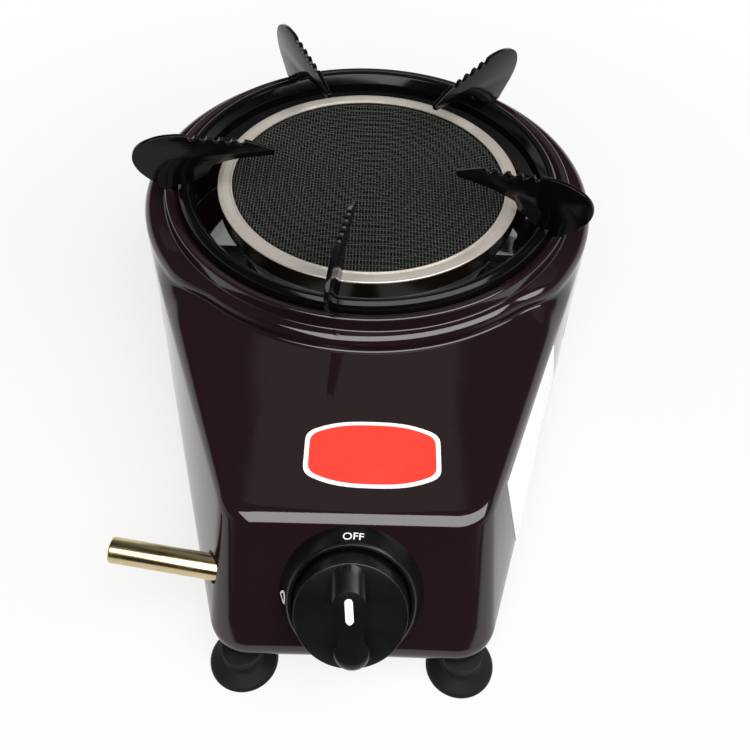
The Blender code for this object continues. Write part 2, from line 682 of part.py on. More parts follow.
def housing_column(column):
    lower = outline(column, DRUM_TOP_R + DRUM_LEAN, LOWER_CORNER_X, CORNER_Y + CORNER_OUT, LOWER_CORNER_R)
    upper = outline(column, DRUM_TOP_R, CORNER_X, CORNER_Y, CORNER_R)
    inner = outline(column, FLANGE_R, FLANGE_CORNER_X, FLANGE_CORNER_Y, FLANGE_CORNER_R)
    low = Vector((lower.x, lower.y, HOUSING_BOTTOM))
    high = Vector((upper.x, upper.y, BOX_TOP))
    edge = Vector((inner.x, inner.y, HOUSING_BOTTOM))
    azimuth = math.atan2(upper.y, upper.x)
    if azimuth > math.pi / 2:
        azimuth -= 2 * math.pi
    radius = step_radius(azimuth)
    spoke = Vector((math.cos(azimuth), math.sin(azimuth), 0))
    up_wall = (high - low).normalized()
    inward = (edge - low).normalized()
    rows = [edge]
    full_turn = math.pi - up_wall.angle(inward)
    for k in range(3, -1, -1):
        rows.append(fillet(low, up_wall, inward, LOWER_ROUND, full_turn * k / 3))

    ledge = upper.length - radius
    foot = min(FOOT_ROUND, ledge / 3)
    down_wall = -up_wall
    reach = TOP_ROUND / math.tan(down_wall.angle(-spoke) / 2)
    plain = []
    for k in range(7):
        height = mix(BOX_TOP - reach, BOX_TOP + FOOT_ROUND, k / 6)
        if height < BOX_TOP:
            plain.append(high + down_wall * ((height - BOX_TOP) / down_wall.z))
        else:
            plain.append(spoke * radius + Vector((0, 0, height)))
    formed = plain
    if ledge > GAP / 10:
        last_turn = math.pi - down_wall.angle(-spoke)
        if reach > 0.85 * (ledge - foot):
            last_turn = turn_at(high, down_wall, -spoke, TOP_ROUND, 0.85 * (ledge - foot))
        formed = [fillet(high, down_wall, -spoke, TOP_ROUND, last_turn * k / 4) for k in range(5)]
        foot_z = BOX_TOP
        if reach > ledge - foot:
            turn = turn_at(high, down_wall, -spoke, TOP_ROUND, ledge - foot)
            foot_z = fillet(high, down_wall, -spoke, TOP_ROUND, turn).z
        formed.append(spoke * (radius + foot) + Vector((0, 0, foot_z)))
        formed.append(spoke * radius + Vector((0, 0, foot_z + FOOT_ROUND)))
    share = smooth_share(ledge / EDGE_BLEND)
    rows += [mix(one, other, share) for one, other in zip(plain, formed)]

    soft = SHOULDER_ROUND
    diagonal = soft * (1 - math.cos(math.pi / 4))
    rim = (
        (radius, SHOULDER - soft),
        (radius - diagonal, SHOULDER - diagonal),
        (radius - soft, SHOULDER),
        (RIM_FOOT_R + RIM_SETBACK, SHOULDER),
        (RIM_FOOT_R, RIM_FOOT_Z),
        (RIM_WALL_R, RIM_WALL_Z),
        (RIM_CREST_R, RIM_CREST_Z),
        (RIM_INNER_R, RIM_INNER_Z),
        (MOUTH_R, MOUTH_Z),
    )
    rows += [spoke * r + Vector((0, 0, z)) for r, z in rim]
    return rows


def make_housing():
    columns = [("drum", i / DRUM_COLUMNS) for i in range(DRUM_COLUMNS + 1)]
    shares = side_shares()
    columns += [("left_side", share) for share in shares]
    columns += [("left_corner", i / CORNER_COLUMNS) for i in range(CORNER_COLUMNS + 1)]
    columns += [("front", i / FRONT_COLUMNS) for i in range(1, FRONT_COLUMNS)]
    columns += [("right_corner", 1 - i / CORNER_COLUMNS) for i in range(CORNER_COLUMNS + 1)]
    columns += [("right_side", share) for share in reversed(shares)]
    grid = [housing_column(column) for column in columns]
    rows = len(grid[0])
    points = [spot for column in grid for spot in column]
    faces = []
    for i in range(len(grid)):
        j = (i + 1) % len(grid)
        for k in range(rows - 1):
            faces.append((i * rows + k, j * rows + k, j * rows + k + 1, i * rows + k + 1))
    housing = mesh_object("housing", points, faces, ENAMEL, stove)
    shell(housing, SHEET)
    cut(housing, cylinder("stem_hole", STEM_HOLE_R, STEM_HOLE_R, -OVERRUN * 2, OVERRUN, SMALL_STEPS, None, control))
    for side in (-1, 1):
        hole = cylinder(f"valve_hole_{side}", VALVE_SCREW_HOLE_R, VALVE_SCREW_HOLE_R,
                        -OVERRUN * 2, OVERRUN, SCREW_STEPS, None, control)
        cut(housing, place(hole, (side * VALVE_SCREW_AT, 0, 0)))
    cut(housing, cylinder("tail_hole", TAIL_HOLE_R, TAIL_HOLE_R, -NUT_LENGTH, NUT_LENGTH, SMALL_STEPS, None, tail_axis))
    for name, (x, y) in FEET.items():
        hole = cylinder(f"{name}_hole", HOLE_R, HOLE_R, HOUSING_BOTTOM - OVERRUN, INNER_FLOOR + OVERRUN * 2,
                        SCREW_STEPS, None, stove)
        cut(housing, place(hole, (x, y, 0)))
    for side in (-1, 1):
        hole = cylinder(f"strap_hole_{side}", HOLE_R, HOLE_R, HOUSING_BOTTOM - OVERRUN, INNER_FLOOR + OVERRUN * 2,
                        SCREW_STEPS, None, stove)
        cut(housing, place(hole, (side * STRAP_SCREW_AT, 0, 0)))
    for azimuth in VENT_AZIMUTHS_DEG:
        for side, facing in (("left", azimuth), ("right", 540 - azimuth)):
            slot = block(f"vent_{side}_{azimuth:.0f}", (VENT_DEPTH, VENT_LENGTH, VENT_HEIGHT), None, stove)
            cut(housing, place(slot, polar(wall_reach(azimuth), facing, VENT_Z), (0, 0, math.radians(facing))))
    return housing


def screw_fastener(name, head_r, head, length, parent, location, turn=(0, 0, 0)):
    """A pan-head screw whose shank runs down -Z from the underside of its head."""
    profile = [
        (0, head), (head_r * 0.7, head), (head_r, head / 3), (head_r, 0),
        (SCREW_R, 0), (SCREW_R, -length + SCREW_R), (SCREW_R / 3, -length), (0, -length),
    ]
    return place(turned(name, profile, SCREW_STEPS, STEEL, parent), location, turn)


def make_feet():
    """Each foot is held by a screw from below, its head in a recess in the foot's base."""
    stem_top = HOUSING_BOTTOM - GAP
    profile = [
        (HOLE_R, stem_top), (FOOT_STEM_R, stem_top), (FOOT_STEM_R, FOOT_STEM_Z + FOOT_EDGE),
        (FOOT_STEM_R + FOOT_EDGE, FOOT_STEM_Z), (FOOT_BASE_R - FOOT_EDGE, FOOT_DISH_Z),
        (FOOT_BASE_R, FOOT_EDGE), (FOOT_BASE_R, 0), (FOOT_RECESS_R, 0), (FOOT_RECESS_R, FOOT_RECESS_Z),
        (HOLE_R, FOOT_RECESS_Z),
    ]
    seat = FOOT_RECESS_Z - GAP
    for name, (x, y) in FEET.items():
        place(turned(name, profile, SMALL_STEPS, RUBBER, stove, closed=True), (x, y, 0))
        screw_fastener(f"{name.replace('foot', 'foot_screw')}", SCREW_HEAD_R, SCREW_HEAD,
                       INNER_FLOOR + FOOT_SCREW_PAST - seat, stove, (x, y, seat), (math.pi, 0, 0))


def make_tray():
    round_in = TRAY_CREST_R - TRAY_ROUND
    round_out = TRAY_CREST_R + TRAY_ROUND
    fall = TRAY_ROUND * (1 - math.cos(math.pi / 4))
    profile = [
        (TRAY_OUTER_R, TRAY_OUTER_Z),
        (round_out, TRAY_CREST_Z - TRAY_ROUND / 2),
        (TRAY_CREST_R + TRAY_ROUND / 2, TRAY_CREST_Z - fall / 3),
        (TRAY_CREST_R, TRAY_CREST_Z),
        (TRAY_CREST_R - TRAY_ROUND / 2, TRAY_CREST_Z - fall / 3),
        (round_in, TRAY_CREST_Z - TRAY_ROUND / 2),
        (TRAY_WALL_R, TRAY_WALL_Z),
        (TRAY_LIP_R, TRAY_LIP_Z),
    ]
    tray = turned("pan_tray", list(reversed(profile)), ROUND_STEPS, BLACK_ENAMEL, lift)
    shell(tray, TRAY_SHEET)
    return tray


def prong_outline():
    def spot(radial, rise):
        return (PRONG_TIP_R + radial * PRONG_REACH, TRAY_CREST_Z + rise * PRONG_RISE)

    points = [spot(*pair) for pair in PRONG_ARM_SHARES + PRONG_FOOT_SHARES + PRONG_SKIRT_SHARES
              + PRONG_LOBE_SHARES]
    first = spot(*PRONG_LOBE_SHARES[-1])
    last = spot(*PRONG_NOTCH_END_SHARES)
    for i in range(PRONG_NOTCHES):
        for share, depth in NOTCH_SHARES:
            along = (i + share) / PRONG_NOTCHES
            points.append((mix(first[0], last[0], along),
                           mix(first[1], last[1], along) - depth * PRONG_NOTCH))
    points.append(last)
    points += [spot(*pair) for pair in PRONG_NOSE_SHARES]
    return points


def make_prongs():
    for i in range(PRONG_COUNT):
        azimuth = math.radians(PRONG_FIRST_DEG + i * 360 / PRONG_COUNT)
        prong = flat_curve(f"pan_prong_{i + 1}", prong_outline(), PRONG_THICK, BLACK_ENAMEL, lift)
        place(prong, (0, 0, 0), (math.pi / 2, 0, azimuth))


def make_burner():
    bowl = turned("burner_bowl", [
        (0, BOWL_FLOOR_Z), (BOWL_FLOOR_R, BOWL_FLOOR_Z), (BOWL_WAIST_R, BOWL_WAIST_Z),
        (BOWL_LEDGE_R, BOWL_LEDGE_Z - BOWL_SHEET), (BOWL_R, BOWL_LEDGE_Z),
        (BOWL_R, BOWL_FLANGE_Z - BOWL_SHEET), (BOWL_FLANGE_R, BOWL_FLANGE_Z - BOWL_SHEET),
    ][::-1], ROUND_STEPS, ALUMINIUM, stove)
    shell(bowl, BOWL_SHEET)
    cut(bowl, place(cylinder("tube_hole", TUBE_R + GAP, TUBE_R + GAP, TUBE_END, BOWL_FLANGE_R,
                             SMALL_STEPS, None, gas_line), (0, 0, 0)))
    for side in (-1, 1):
        hole = cylinder(f"bowl_screw_hole_{side}", HOLE_R, HOLE_R, BOWL_FLOOR_Z - OVERRUN,
                        BOWL_FLOOR_Z + BOWL_SHEET + OVERRUN, SCREW_STEPS, None, stove)
        cut(bowl, place(hole, (side * BOWL_SCREW_AT, 0, 0)))

    seat = BOWL_LEDGE_Z + BOWL_SHEET + GAP
    inside = PLATE_R
    turned("plate_gasket", [
        (inside - GASKET_WIDTH, seat + GASKET_THICK), (inside, seat + GASKET_THICK),
        (inside, seat), (inside - GASKET_WIDTH, seat),
    ], ROUND_STEPS, FIBRE, stove, closed=True)
    plate_low = seat + GASKET_THICK + GAP
    turned("ceramic_plate", [
        (0, PLATE_TOP), (PLATE_R - SHEET, PLATE_TOP), (PLATE_R, PLATE_TOP - SHEET),
        (PLATE_R, plate_low), (0, plate_low),
    ], ROUND_STEPS, CERAMIC, stove)
    low = PLATE_TOP + GAP
    ridges = []
    for i in range(MESH_RIDGES * 2 + 1):
        lift_by = MESH_RIDGE if i % 2 else 0
        ridges.append((RING_INNER_R * i / (MESH_RIDGES * 2 + 1), lift_by))
    top = [(r, low + MESH_THICK + rise) for r, rise in ridges] + [(PLATE_R, low + MESH_THICK)]
    bottom = [(PLATE_R, low), (0, low)]
    turned("burner_mesh", top + bottom, ROUND_STEPS, MESH_STEEL, stove)
    under = low + MESH_THICK + GAP
    turned("burner_ring", [
        (RING_INNER_R, under + RING_SHEET), (RING_CROWN_R, RING_CROWN),
        (RING_OUTER_R - RING_SHEET, RING_CROWN - RING_SHEET / 3), (RING_OUTER_R, RING_CROWN - RING_SHEET),
        (RING_OUTER_R, RING_SKIRT_Z), (RING_OUTER_R - RING_SHEET, RING_SKIRT_Z),
        (RING_OUTER_R - RING_SHEET, RING_CROWN - RING_SHEET * 4 / 3),
        (RING_CROWN_R, RING_CROWN - RING_SHEET), (RING_INNER_R, under),
    ], ROUND_STEPS, STEEL, stove, closed=True)


def sector(name, inner_r, outer_r, first_deg, last_deg, thickness, parent):
    points = arc_points((0, 0), outer_r, first_deg, last_deg, 6)
    points += arc_points((0, 0), inner_r, last_deg, first_deg, 4)
    return flat_curve(name, points, thickness, None, parent)


def make_gas_line():
    """Local +Z of the gas line runs from the burner's axis towards the front of the stove."""
    tube = turned("mixing_tube", [
        (INJECTOR_R + INJECTOR_CLEAR, TUBE_MOUTH), (MOUTH_BELL_R, TUBE_MOUTH),
        (MOUTH_BELL_R, TUBE_MOUTH - MOUTH_PLATE * 2), (TUBE_R, TUBE_THROAT), (TUBE_R, TUBE_END),
        (TUBE_R - TUBE_WALL, TUBE_END), (TUBE_R - TUBE_WALL, TUBE_THROAT),
        (MOUTH_BELL_R - TUBE_WALL * 3 / 2, TUBE_MOUTH - MOUTH_PLATE * 2),
        (MOUTH_BELL_R - TUBE_WALL * 3 / 2, TUBE_MOUTH - MOUTH_PLATE),
        (INJECTOR_R + INJECTOR_CLEAR, TUBE_MOUTH - MOUTH_PLATE),
    ], SMALL_STEPS, ALUMINIUM, gas_line, closed=True)
    shutter_low = TUBE_MOUTH + GAP
    shutter = cylinder("air_shutter", SHUTTER_R, SHUTTER_R, shutter_low, shutter_low + SHUTTER_THICK,
                       SMALL_STEPS, STEEL, gas_line)
    tab = block("shutter_tab", (SHUTTER_TAB_HALF * 2, SHUTTER_TAB * 2, SHUTTER_THICK), None, gas_line)
    place(tab, (0, -SHUTTER_R, shutter_low + SHUTTER_THICK / 2))
    join(shutter, tab)
    bore = cylinder("shutter_bore", INJECTOR_R + INJECTOR_CLEAR, INJECTOR_R + INJECTOR_CLEAR,
                    shutter_low - OVERRUN, shutter_low + OVERRUN * 2, SMALL_STEPS, None, gas_line)
    cut(shutter, bore)
    for side, centre in (("left", 180), ("right", 0)):
        opening = sector(f"air_opening_{side}", AIR_OPENING_IN, AIR_OPENING_OUT, centre - 38, centre + 38,
                         MOUTH_PLATE + OVERRUN, gas_line)
        place(opening, (0, 0, TUBE_MOUTH - MOUTH_PLATE / 2))
        cut(tube, opening)
        window = sector(f"shutter_opening_{side}", AIR_OPENING_IN, AIR_OPENING_OUT, centre - 38, centre + 38,
                        SHUTTER_THICK + OVERRUN, gas_line)
        place(window, (0, 0, shutter_low + SHUTTER_THICK / 2))
        cut(shutter, window)
    elbow = cylinder("gas_elbow", ELBOW_R, ELBOW_R, OUTLET_TOP + GAP, ELBOW_TOP, SMALL_STEPS, BRASS, stove)
    place(elbow, (0, -OUTLET_Y, 0))
    nozzle = turned("injector", [
        (0, OUTLET_Y), (INJECTOR_R, OUTLET_Y), (INJECTOR_R, INJECTOR_TIP + INJECTOR_R),
        (INJECTOR_R / 2, INJECTOR_TIP), (0, INJECTOR_TIP),
    ], SMALL_STEPS, None, gas_line)
    join(elbow, nozzle)
    nut = cylinder("injector_hex", HEX_R, HEX_R, TUBE_MOUTH + OUTLET_R, TUBE_MOUTH + OUTLET_R + HEX_LENGTH,
                   6, None, gas_line)
    join(elbow, nut)


def make_valve():
    plate_low = -SHEET - GAP
    body = cylinder("gas_valve", VALVE_R, VALVE_R, -VALVE_LENGTH, plate_low, SMALL_STEPS, ALUMINIUM, control)
    soft = VALVE_PLATE_HALF
    plate = arc_points((VALVE_PLATE_RIGHT - soft, 0), soft, -90, 90, 8)
    plate += arc_points((-VALVE_PLATE_LEFT + soft, 0), soft, 90, 270, 8)
    flange = flat_curve("valve_flange", plate, VALVE_PLATE, None, control)
    join(body, place(flange, (0, 0, plate_low - VALVE_PLATE / 2)))
    outlet = cylinder("valve_outlet", OUTLET_R, OUTLET_R, OUTLET_ROOT, OUTLET_TOP, SMALL_STEPS, None, stove)
    join(body, place(outlet, (0, -OUTLET_Y, 0)))
    inlet = cylinder("valve_inlet", INLET_R, INLET_R, -TAIL_ROOT - INLET_LENGTH, -TAIL_ROOT,
                     SMALL_STEPS, None, tail_axis)
    join(body, inlet)
    plug_top = VALVE_CHAMBER_END + GAP
    plug_end = plug_top + PLUG_LENGTH
    cavity = turned("valve_cavity", [
        (0, plate_low + OVERRUN), (VALVE_NECK_R, plate_low + OVERRUN), (VALVE_NECK_R, -VALVE_NECK),
        (VALVE_CHAMBER_R, -VALVE_NECK), (VALVE_CHAMBER_R, -VALVE_CHAMBER_END),
        (PLUG_TOP_R + GAP, -VALVE_CHAMBER_END), (PLUG_TIP_R + GAP, -plug_end - GAP), (0, -plug_end - GAP),
    ], SMALL_STEPS, None, control)
    cut(body, cavity)
    for side in (-1, 1):
        hole = cylinder(f"flange_hole_{side}", VALVE_SCREW_HOLE_R, VALVE_SCREW_HOLE_R,
                        plate_low - VALVE_PLATE - OVERRUN, OVERRUN, SCREW_STEPS, None, control)
        cut(body, place(hole, (side * VALVE_SCREW_AT, 0, 0)))
        name = "valve_screw_left" if side < 0 else "valve_screw_right"
        screw_fastener(name, SCREW_HEAD_R, SCREW_HEAD, SCREW_LENGTH, control, (side * VALVE_SCREW_AT, 0, GAP))

    plug = cylinder("valve_plug", PLUG_TIP_R, PLUG_TOP_R, -plug_end, -plug_top, SMALL_STEPS, BRASS, control)
    slot = block("plug_slot", (PLUG_TOP_R * 3, PLUG_SLOT_HALF * 2, PLUG_SLOT_DEPTH * 2), None, control)
    cut(plug, place(slot, (0, 0, -plug_top)))

    stem_high = KNOB_FACE - KNOB_CEILING - STEM_TOP_GAP
    stem = cylinder("valve_stem", STEM_R, STEM_R, -STEM_LENGTH_IN, stem_high, SMALL_STEPS, BRASS, control)
    tongue = block("stem_tongue", (TONGUE_WIDE * 2, TONGUE_HALF * 2, TONGUE_LENGTH * 2), None, control)
    join(stem, place(tongue, (0, 0, -STEM_LENGTH_IN)))
    flat = block("stem_flat", (STEM_R * 3, STEM_R, stem_high * 2), None, control)
    cut(stem, place(flat, (0, STEM_FLAT + STEM_R / 2, stem_high + KNOB_START)))

    turned("push_collar", [
        (STEM_R + STEM_CLEAR, -COLLAR_DEPTH), (COLLAR_R, -COLLAR_DEPTH),
        (COLLAR_R, -COLLAR_DEPTH - COLLAR_THICK), (STEM_R + STEM_CLEAR, -COLLAR_DEPTH - COLLAR_THICK),
    ], SMALL_STEPS, STEEL, control, closed=True)
    coil = []
    steps = SCREW_STEPS * SPRING_TURNS
    coil_top = -COLLAR_DEPTH - COLLAR_THICK - GAP - SPRING_WIRE_R
    for i in range(steps + 1):
        angle = 2 * math.pi * i / SCREW_STEPS
        fall = SPRING_PITCH * i / SCREW_STEPS
        coil.append((SPRING_R * math.cos(angle), SPRING_R * math.sin(angle), coil_top - fall))
    wire("stem_spring", coil, SPRING_WIRE_R, STEEL, control)

    piezo_top = plate_low - VALVE_PLATE - GAP
    piezo = turned("piezo_igniter", [
        (0, piezo_top), (PIEZO_R, piezo_top), (PIEZO_R, piezo_top - PIEZO_LENGTH),
        (PIEZO_NOSE_R, piezo_top - PIEZO_LENGTH), (PIEZO_NOSE_R, piezo_top - PIEZO_LENGTH - PIEZO_NOSE),
        (0, piezo_top - PIEZO_LENGTH - PIEZO_NOSE),
    ], SMALL_STEPS, IGNITER, control)
    place(piezo, (PIEZO_AT, 0, 0))


def make_lead():
    nose = KNOB_POINT + Vector((PIEZO_AT, 0, 0)) - PANEL_OUT * (
        SHEET + VALVE_PLATE + PIEZO_LENGTH + PIEZO_NOSE + GAP * 3)
    foot = polar(ELECTRODE_AT, ELECTRODE_DEG, ELECTRODE_LOW - GAP)
    below = foot - Vector((0, 0, ELECTRODE_COLLAR * 3))
    route = [
        nose,
        nose - PANEL_OUT * PIEZO_R,
        Vector((mix(nose.x, foot.x, 0.35), mix(nose.y, foot.y, 0.20), VENT_Z)),
        Vector((mix(nose.x, foot.x, 0.80), mix(nose.y, foot.y, 0.55), VENT_Z)),
        Vector((foot.x * 1.04, mix(nose.y, foot.y, 0.85), VENT_Z)),
        below,
        foot,
    ]
    smooth = [route[0]]
    for i in range(1, len(route) - 2):
        before = route[i - 1]
        start = route[i]
        end = route[i + 1]
        after = route[i + 2]
        for k in range(4):
            t = k / 4
            spot = 0.5 * ((2 * start) + (end - before) * t + (2 * before - 5 * start + 4 * end - after) * t * t
                          + (3 * start - before - 3 * end + after) * t ** 3)
            smooth.append(spot)
    smooth += route[-2:]
    wire("ignition_lead", smooth, LEAD_R, LEAD, stove)


def make_electrode():
    spot = polar(ELECTRODE_AT, ELECTRODE_DEG, 0)
    turn = (0, 0, math.radians(ELECTRODE_DEG))
    tab_top = TAB_Z + TAB_THICK
    electrode = turned("spark_electrode", [
        (0, ELECTRODE_HIGH), (ELECTRODE_R * 0.6, ELECTRODE_HIGH), (ELECTRODE_R, ELECTRODE_HIGH - ELECTRODE_R),
        (ELECTRODE_R, tab_top + GAP + ELECTRODE_COLLAR), (ELECTRODE_COLLAR_R, tab_top + GAP + ELECTRODE_COLLAR),
        (ELECTRODE_COLLAR_R, tab_top + GAP), (ELECTRODE_R, tab_top + GAP), (ELECTRODE_R, ELECTRODE_LOW),
        (0, ELECTRODE_LOW),
    ], SMALL_STEPS // 2, CERAMIC, stove)
    place(electrode, spot, turn)
    bend = WIRE_TOP - WIRE_REACH / 2
    tip = wire("spark_wire", [
        (0, 0, ELECTRODE_HIGH + GAP), (0, 0, bend - WIRE_R), (-WIRE_REACH / 5, 0, mix(bend, WIRE_TOP, 0.7)),
        (-WIRE_REACH, 0, WIRE_TOP),
    ], WIRE_R, STEEL, stove)
    place(tip, spot, turn)
    wall = mix(BOWL_WAIST_R, BOWL_LEDGE_R, (TAB_Z + TAB_THICK - BOWL_WAIST_Z)
               / (BOWL_LEDGE_Z - BOWL_SHEET - BOWL_WAIST_Z)) + GAP
    tab = block("electrode_bracket", (TAB_OUT - wall, TAB_HALF * 2, TAB_THICK), STEEL, stove)
    middle = (TAB_OUT + wall) / 2
    place(tab, polar(middle, ELECTRODE_DEG, TAB_Z + TAB_THICK / 2), turn)
    hole = cylinder("electrode_hole", ELECTRODE_R + GAP, ELECTRODE_R + GAP, TAB_Z - OVERRUN,
                    TAB_Z + OVERRUN * 2, SMALL_STEPS // 2, None, stove)
    cut(tab, place(hole, spot))


def make_controls():
    turned("dial", [
        (DIAL_EDGE_R - DIAL_LIP, DIAL_HEIGHT), (DIAL_EDGE_R, DIAL_HEIGHT),
        (DIAL_EDGE_R + DIAL_BEVEL, DIAL_HEIGHT - DIAL_BEVEL), (DIAL_FOOT_R, GAP),
        (DIAL_FOOT_R - DIAL_WALL, GAP), (DIAL_FOOT_R - DIAL_WALL * 2, DIAL_FLOOR),
        (DIAL_BORE_R, DIAL_FLOOR), (DIAL_BORE_R, DIAL_FLOOR + DIAL_PLATE),
        (KNOB_FOOT_R + GAP, DIAL_FLOOR + DIAL_PLATE),
    ], ROUND_STEPS, PLASTIC, control, closed=True)

    ceiling = KNOB_FACE - KNOB_CEILING
    knob = turned("knob", [
        (0, KNOB_FACE), (KNOB_R - KNOB_EDGE, KNOB_FACE), (KNOB_R, KNOB_FACE - KNOB_EDGE),
        (KNOB_FOOT_R, KNOB_START), (KNOB_FOOT_R - KNOB_WALL, KNOB_START),
        (KNOB_R - KNOB_WALL, ceiling), (HUB_R, ceiling), (HUB_R, KNOB_START),
        (STEM_R + STEM_CLEAR, KNOB_START), (STEM_R + STEM_CLEAR, ceiling), (0, ceiling),
    ], ROUND_STEPS, PLASTIC, control)
    join(knob, make_grip())


def grip_half_width(a):
    share = min(1, ((a - GRIP_WAIST_AT) / GRIP_WAIST_SPAN) ** 2)
    return mix(GRIP_HALF_WAIST, GRIP_HALF_END, share)


def grip_level(low, high):
    """The grip's outline, seen along the stem, from its lower end to its upper end."""
    end = GRIP_HALF_END
    points = arc_points((0, low + end), end, 180, 360, 8)
    stations = 5
    span = (high - end) - (low + end)
    for i in range(1, stations):
        a = low + end + span * i / stations
        points.append((grip_half_width(a), a))
    points += arc_points((0, high - end), end, 0, 180, 8)
    for i in range(stations - 1, 0, -1):
        a = low + end + span * i / stations
        points.append((-grip_half_width(a), a))
    return points


def make_grip():
    ramp_foot = KNOB_R - GRIP_RAMP_INSET
    round_start = GRIP_TOP - GRIP_ROUND
    lean_deg = 90 - math.degrees(PANEL_LEAN)
    levels = [(KNOB_FACE - GRIP_ROOT, -GRIP_LOW), (KNOB_FACE, -GRIP_LOW)]
    for turn_deg in (0, lean_deg / 2, lean_deg, (90 + lean_deg) / 2, 90):
        turn = math.radians(turn_deg)
        levels.append((round_start + GRIP_ROUND * math.sin(turn), GRIP_ROUND_AT - GRIP_ROUND * math.cos(turn)))
    points = []
    for height, low in levels:
        up_ramp = max(height - KNOB_FACE, 0) / (GRIP_TOP - KNOB_FACE)
        high = mix(ramp_foot, GRIP_HIGH, up_ramp)
        points += [(x, a, height) for x, a in grip_level(low, high)]
    around = len(points) // len(levels)
    faces = [tuple(reversed(range(around))), tuple(range(around * (len(levels) - 1), len(points)))]
    for k in range(len(levels) - 1):
        for i in range(around):
            j = (i + 1) % around
            faces.append((k * around + i, k * around + j, (k + 1) * around + j, (k + 1) * around + i))
    return mesh_object("grip", points, faces, None, control)


def make_inlet():
    turned("hose_tail", [
        (TAIL_BORE_R, TAIL_OUT), (TAIL_R - TAIL_CHAMFER, TAIL_OUT), (TAIL_R, TAIL_OUT - TAIL_CHAMFER),
        (TAIL_R, -TAIL_ROOT + GAP), (TAIL_BORE_R, -TAIL_ROOT + GAP),
    ], SMALL_STEPS, ZINC, tail_axis, closed=True)
    nut_high = -TAIL_ROOT + GAP + NUT_SETBACK + NUT_LENGTH
    nut = cylinder("inlet_nut", NUT_R, NUT_R, nut_high - NUT_LENGTH, nut_high, 6, BRASS, tail_axis)
    bore = cylinder("nut_bore", TAIL_R + GAP, TAIL_R + GAP, nut_high - NUT_LENGTH - OVERRUN,
                    nut_high + OVERRUN, SMALL_STEPS, None, tail_axis)
    cut(nut, bore)


def make_strap():
    low = INNER_FLOOR + GAP
    high = BOWL_FLOOR_Z - GAP
    thick = STRAP_THICK
    upper = [
        (STRAP_REACH, low + thick), (STRAP_STEP_OUT, low + thick), (STRAP_STEP_IN, high),
    ]
    lower = [
        (STRAP_STEP_IN + thick, high - thick), (STRAP_STEP_OUT + thick, low), (STRAP_REACH, low),
    ]
    points = upper + [(-x, z) for x, z in reversed(upper)]
    points += [(-x, z) for x, z in reversed(lower)]
    points += lower
    strap = flat_curve("burner_strap", points, STRAP_HALF * 2, STEEL, stove)
    place(strap, (0, 0, 0), (math.pi / 2, 0, 0))
    for side, name in ((-1, "left"), (1, "right")):
        end_hole = cylinder(f"strap_end_hole_{name}", HOLE_R, HOLE_R, low - OVERRUN, low + thick + OVERRUN,
                            SCREW_STEPS, None, stove)
        cut(strap, place(end_hole, (side * STRAP_SCREW_AT, 0, 0)))
        top_hole = cylinder(f"strap_top_hole_{name}", HOLE_R, HOLE_R, high - thick - OVERRUN, high + OVERRUN,
                            SCREW_STEPS, None, stove)
        cut(strap, place(top_hole, (side * BOWL_SCREW_AT, 0, 0)))
        screw_fastener(f"strap_screw_{name}", SCREW_HEAD_R, SCREW_HEAD, STRAP_SCREW_LENGTH, stove,
                       (side * STRAP_SCREW_AT, 0, low + thick + GAP))
        screw_fastener(f"bowl_screw_{name}", SCREW_HEAD_R, SCREW_HEAD, STRAP_SCREW_LENGTH, stove,
                       (side * BOWL_SCREW_AT, 0, high - thick - GAP), (math.pi, 0, 0))


make_housing()
make_feet()
make_tray()
make_prongs()
make_burner()
make_gas_line()
make_valve()
make_lead()
make_electrode()
make_controls()
make_inlet()
make_strap()
bpy.context.view_layer.update()
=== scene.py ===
"""A single burner gas stove on a white sweep: maroon enamelled housing, black tray with five
serrated pan supports, woven wire over the burner plate, steel trim ring, black dial and knob.
Metres, +Z up, the front faces -Y. Sizes are written in millimetres and scaled by MM."""
import json
from math import acos, atan2, cos, degrees, hypot, pi, radians, sin, sqrt, tan

import bmesh
import bpy
from mathutils import Matrix, Vector


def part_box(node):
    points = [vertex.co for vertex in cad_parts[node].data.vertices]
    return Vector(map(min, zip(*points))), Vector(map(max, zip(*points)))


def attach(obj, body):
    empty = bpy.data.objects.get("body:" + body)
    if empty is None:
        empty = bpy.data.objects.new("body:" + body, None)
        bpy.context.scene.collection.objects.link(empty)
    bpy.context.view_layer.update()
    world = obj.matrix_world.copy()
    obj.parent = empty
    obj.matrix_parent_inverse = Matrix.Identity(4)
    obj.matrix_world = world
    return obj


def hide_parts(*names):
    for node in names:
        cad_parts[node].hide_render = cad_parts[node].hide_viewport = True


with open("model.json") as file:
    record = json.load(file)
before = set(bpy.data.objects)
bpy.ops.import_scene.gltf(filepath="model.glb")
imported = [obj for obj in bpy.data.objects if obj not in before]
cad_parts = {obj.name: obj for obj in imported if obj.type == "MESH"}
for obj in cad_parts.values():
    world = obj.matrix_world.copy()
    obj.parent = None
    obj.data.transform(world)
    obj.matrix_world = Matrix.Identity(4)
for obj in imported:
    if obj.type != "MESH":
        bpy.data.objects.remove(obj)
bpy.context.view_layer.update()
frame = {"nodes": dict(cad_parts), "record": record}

MM = 0.001
ring_low, ring_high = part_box("burner_ring")
BURNER = Vector(((ring_low.x + ring_high.x) / 2, (ring_low.y + ring_high.y) / 2, 0))

# Housing sizes from the burner's axis
SHEET = 1.0
BOTTOM = 12.0
BOX_TOP = 61.0
SHOULDER = 67.3
DRUM_R = 104.0
DRUM_LEAN = 1.4
STEP_R = 99.5
TOP_ROUND, LOWER_ROUND, FOOT_ROUND, SHOULDER_ROUND = 8.5, 6.4, 1.3, 4.6
# A corner's centre to the right and to the front, and its radius
CORNER = (35.5, 162.0, 14.0)
LOWER_CORNER = (36.9, 197.5, 16.2)
FLANGE_CORNER = (31.0, 184.0, 5.0)
FLANGE_R = 88.0
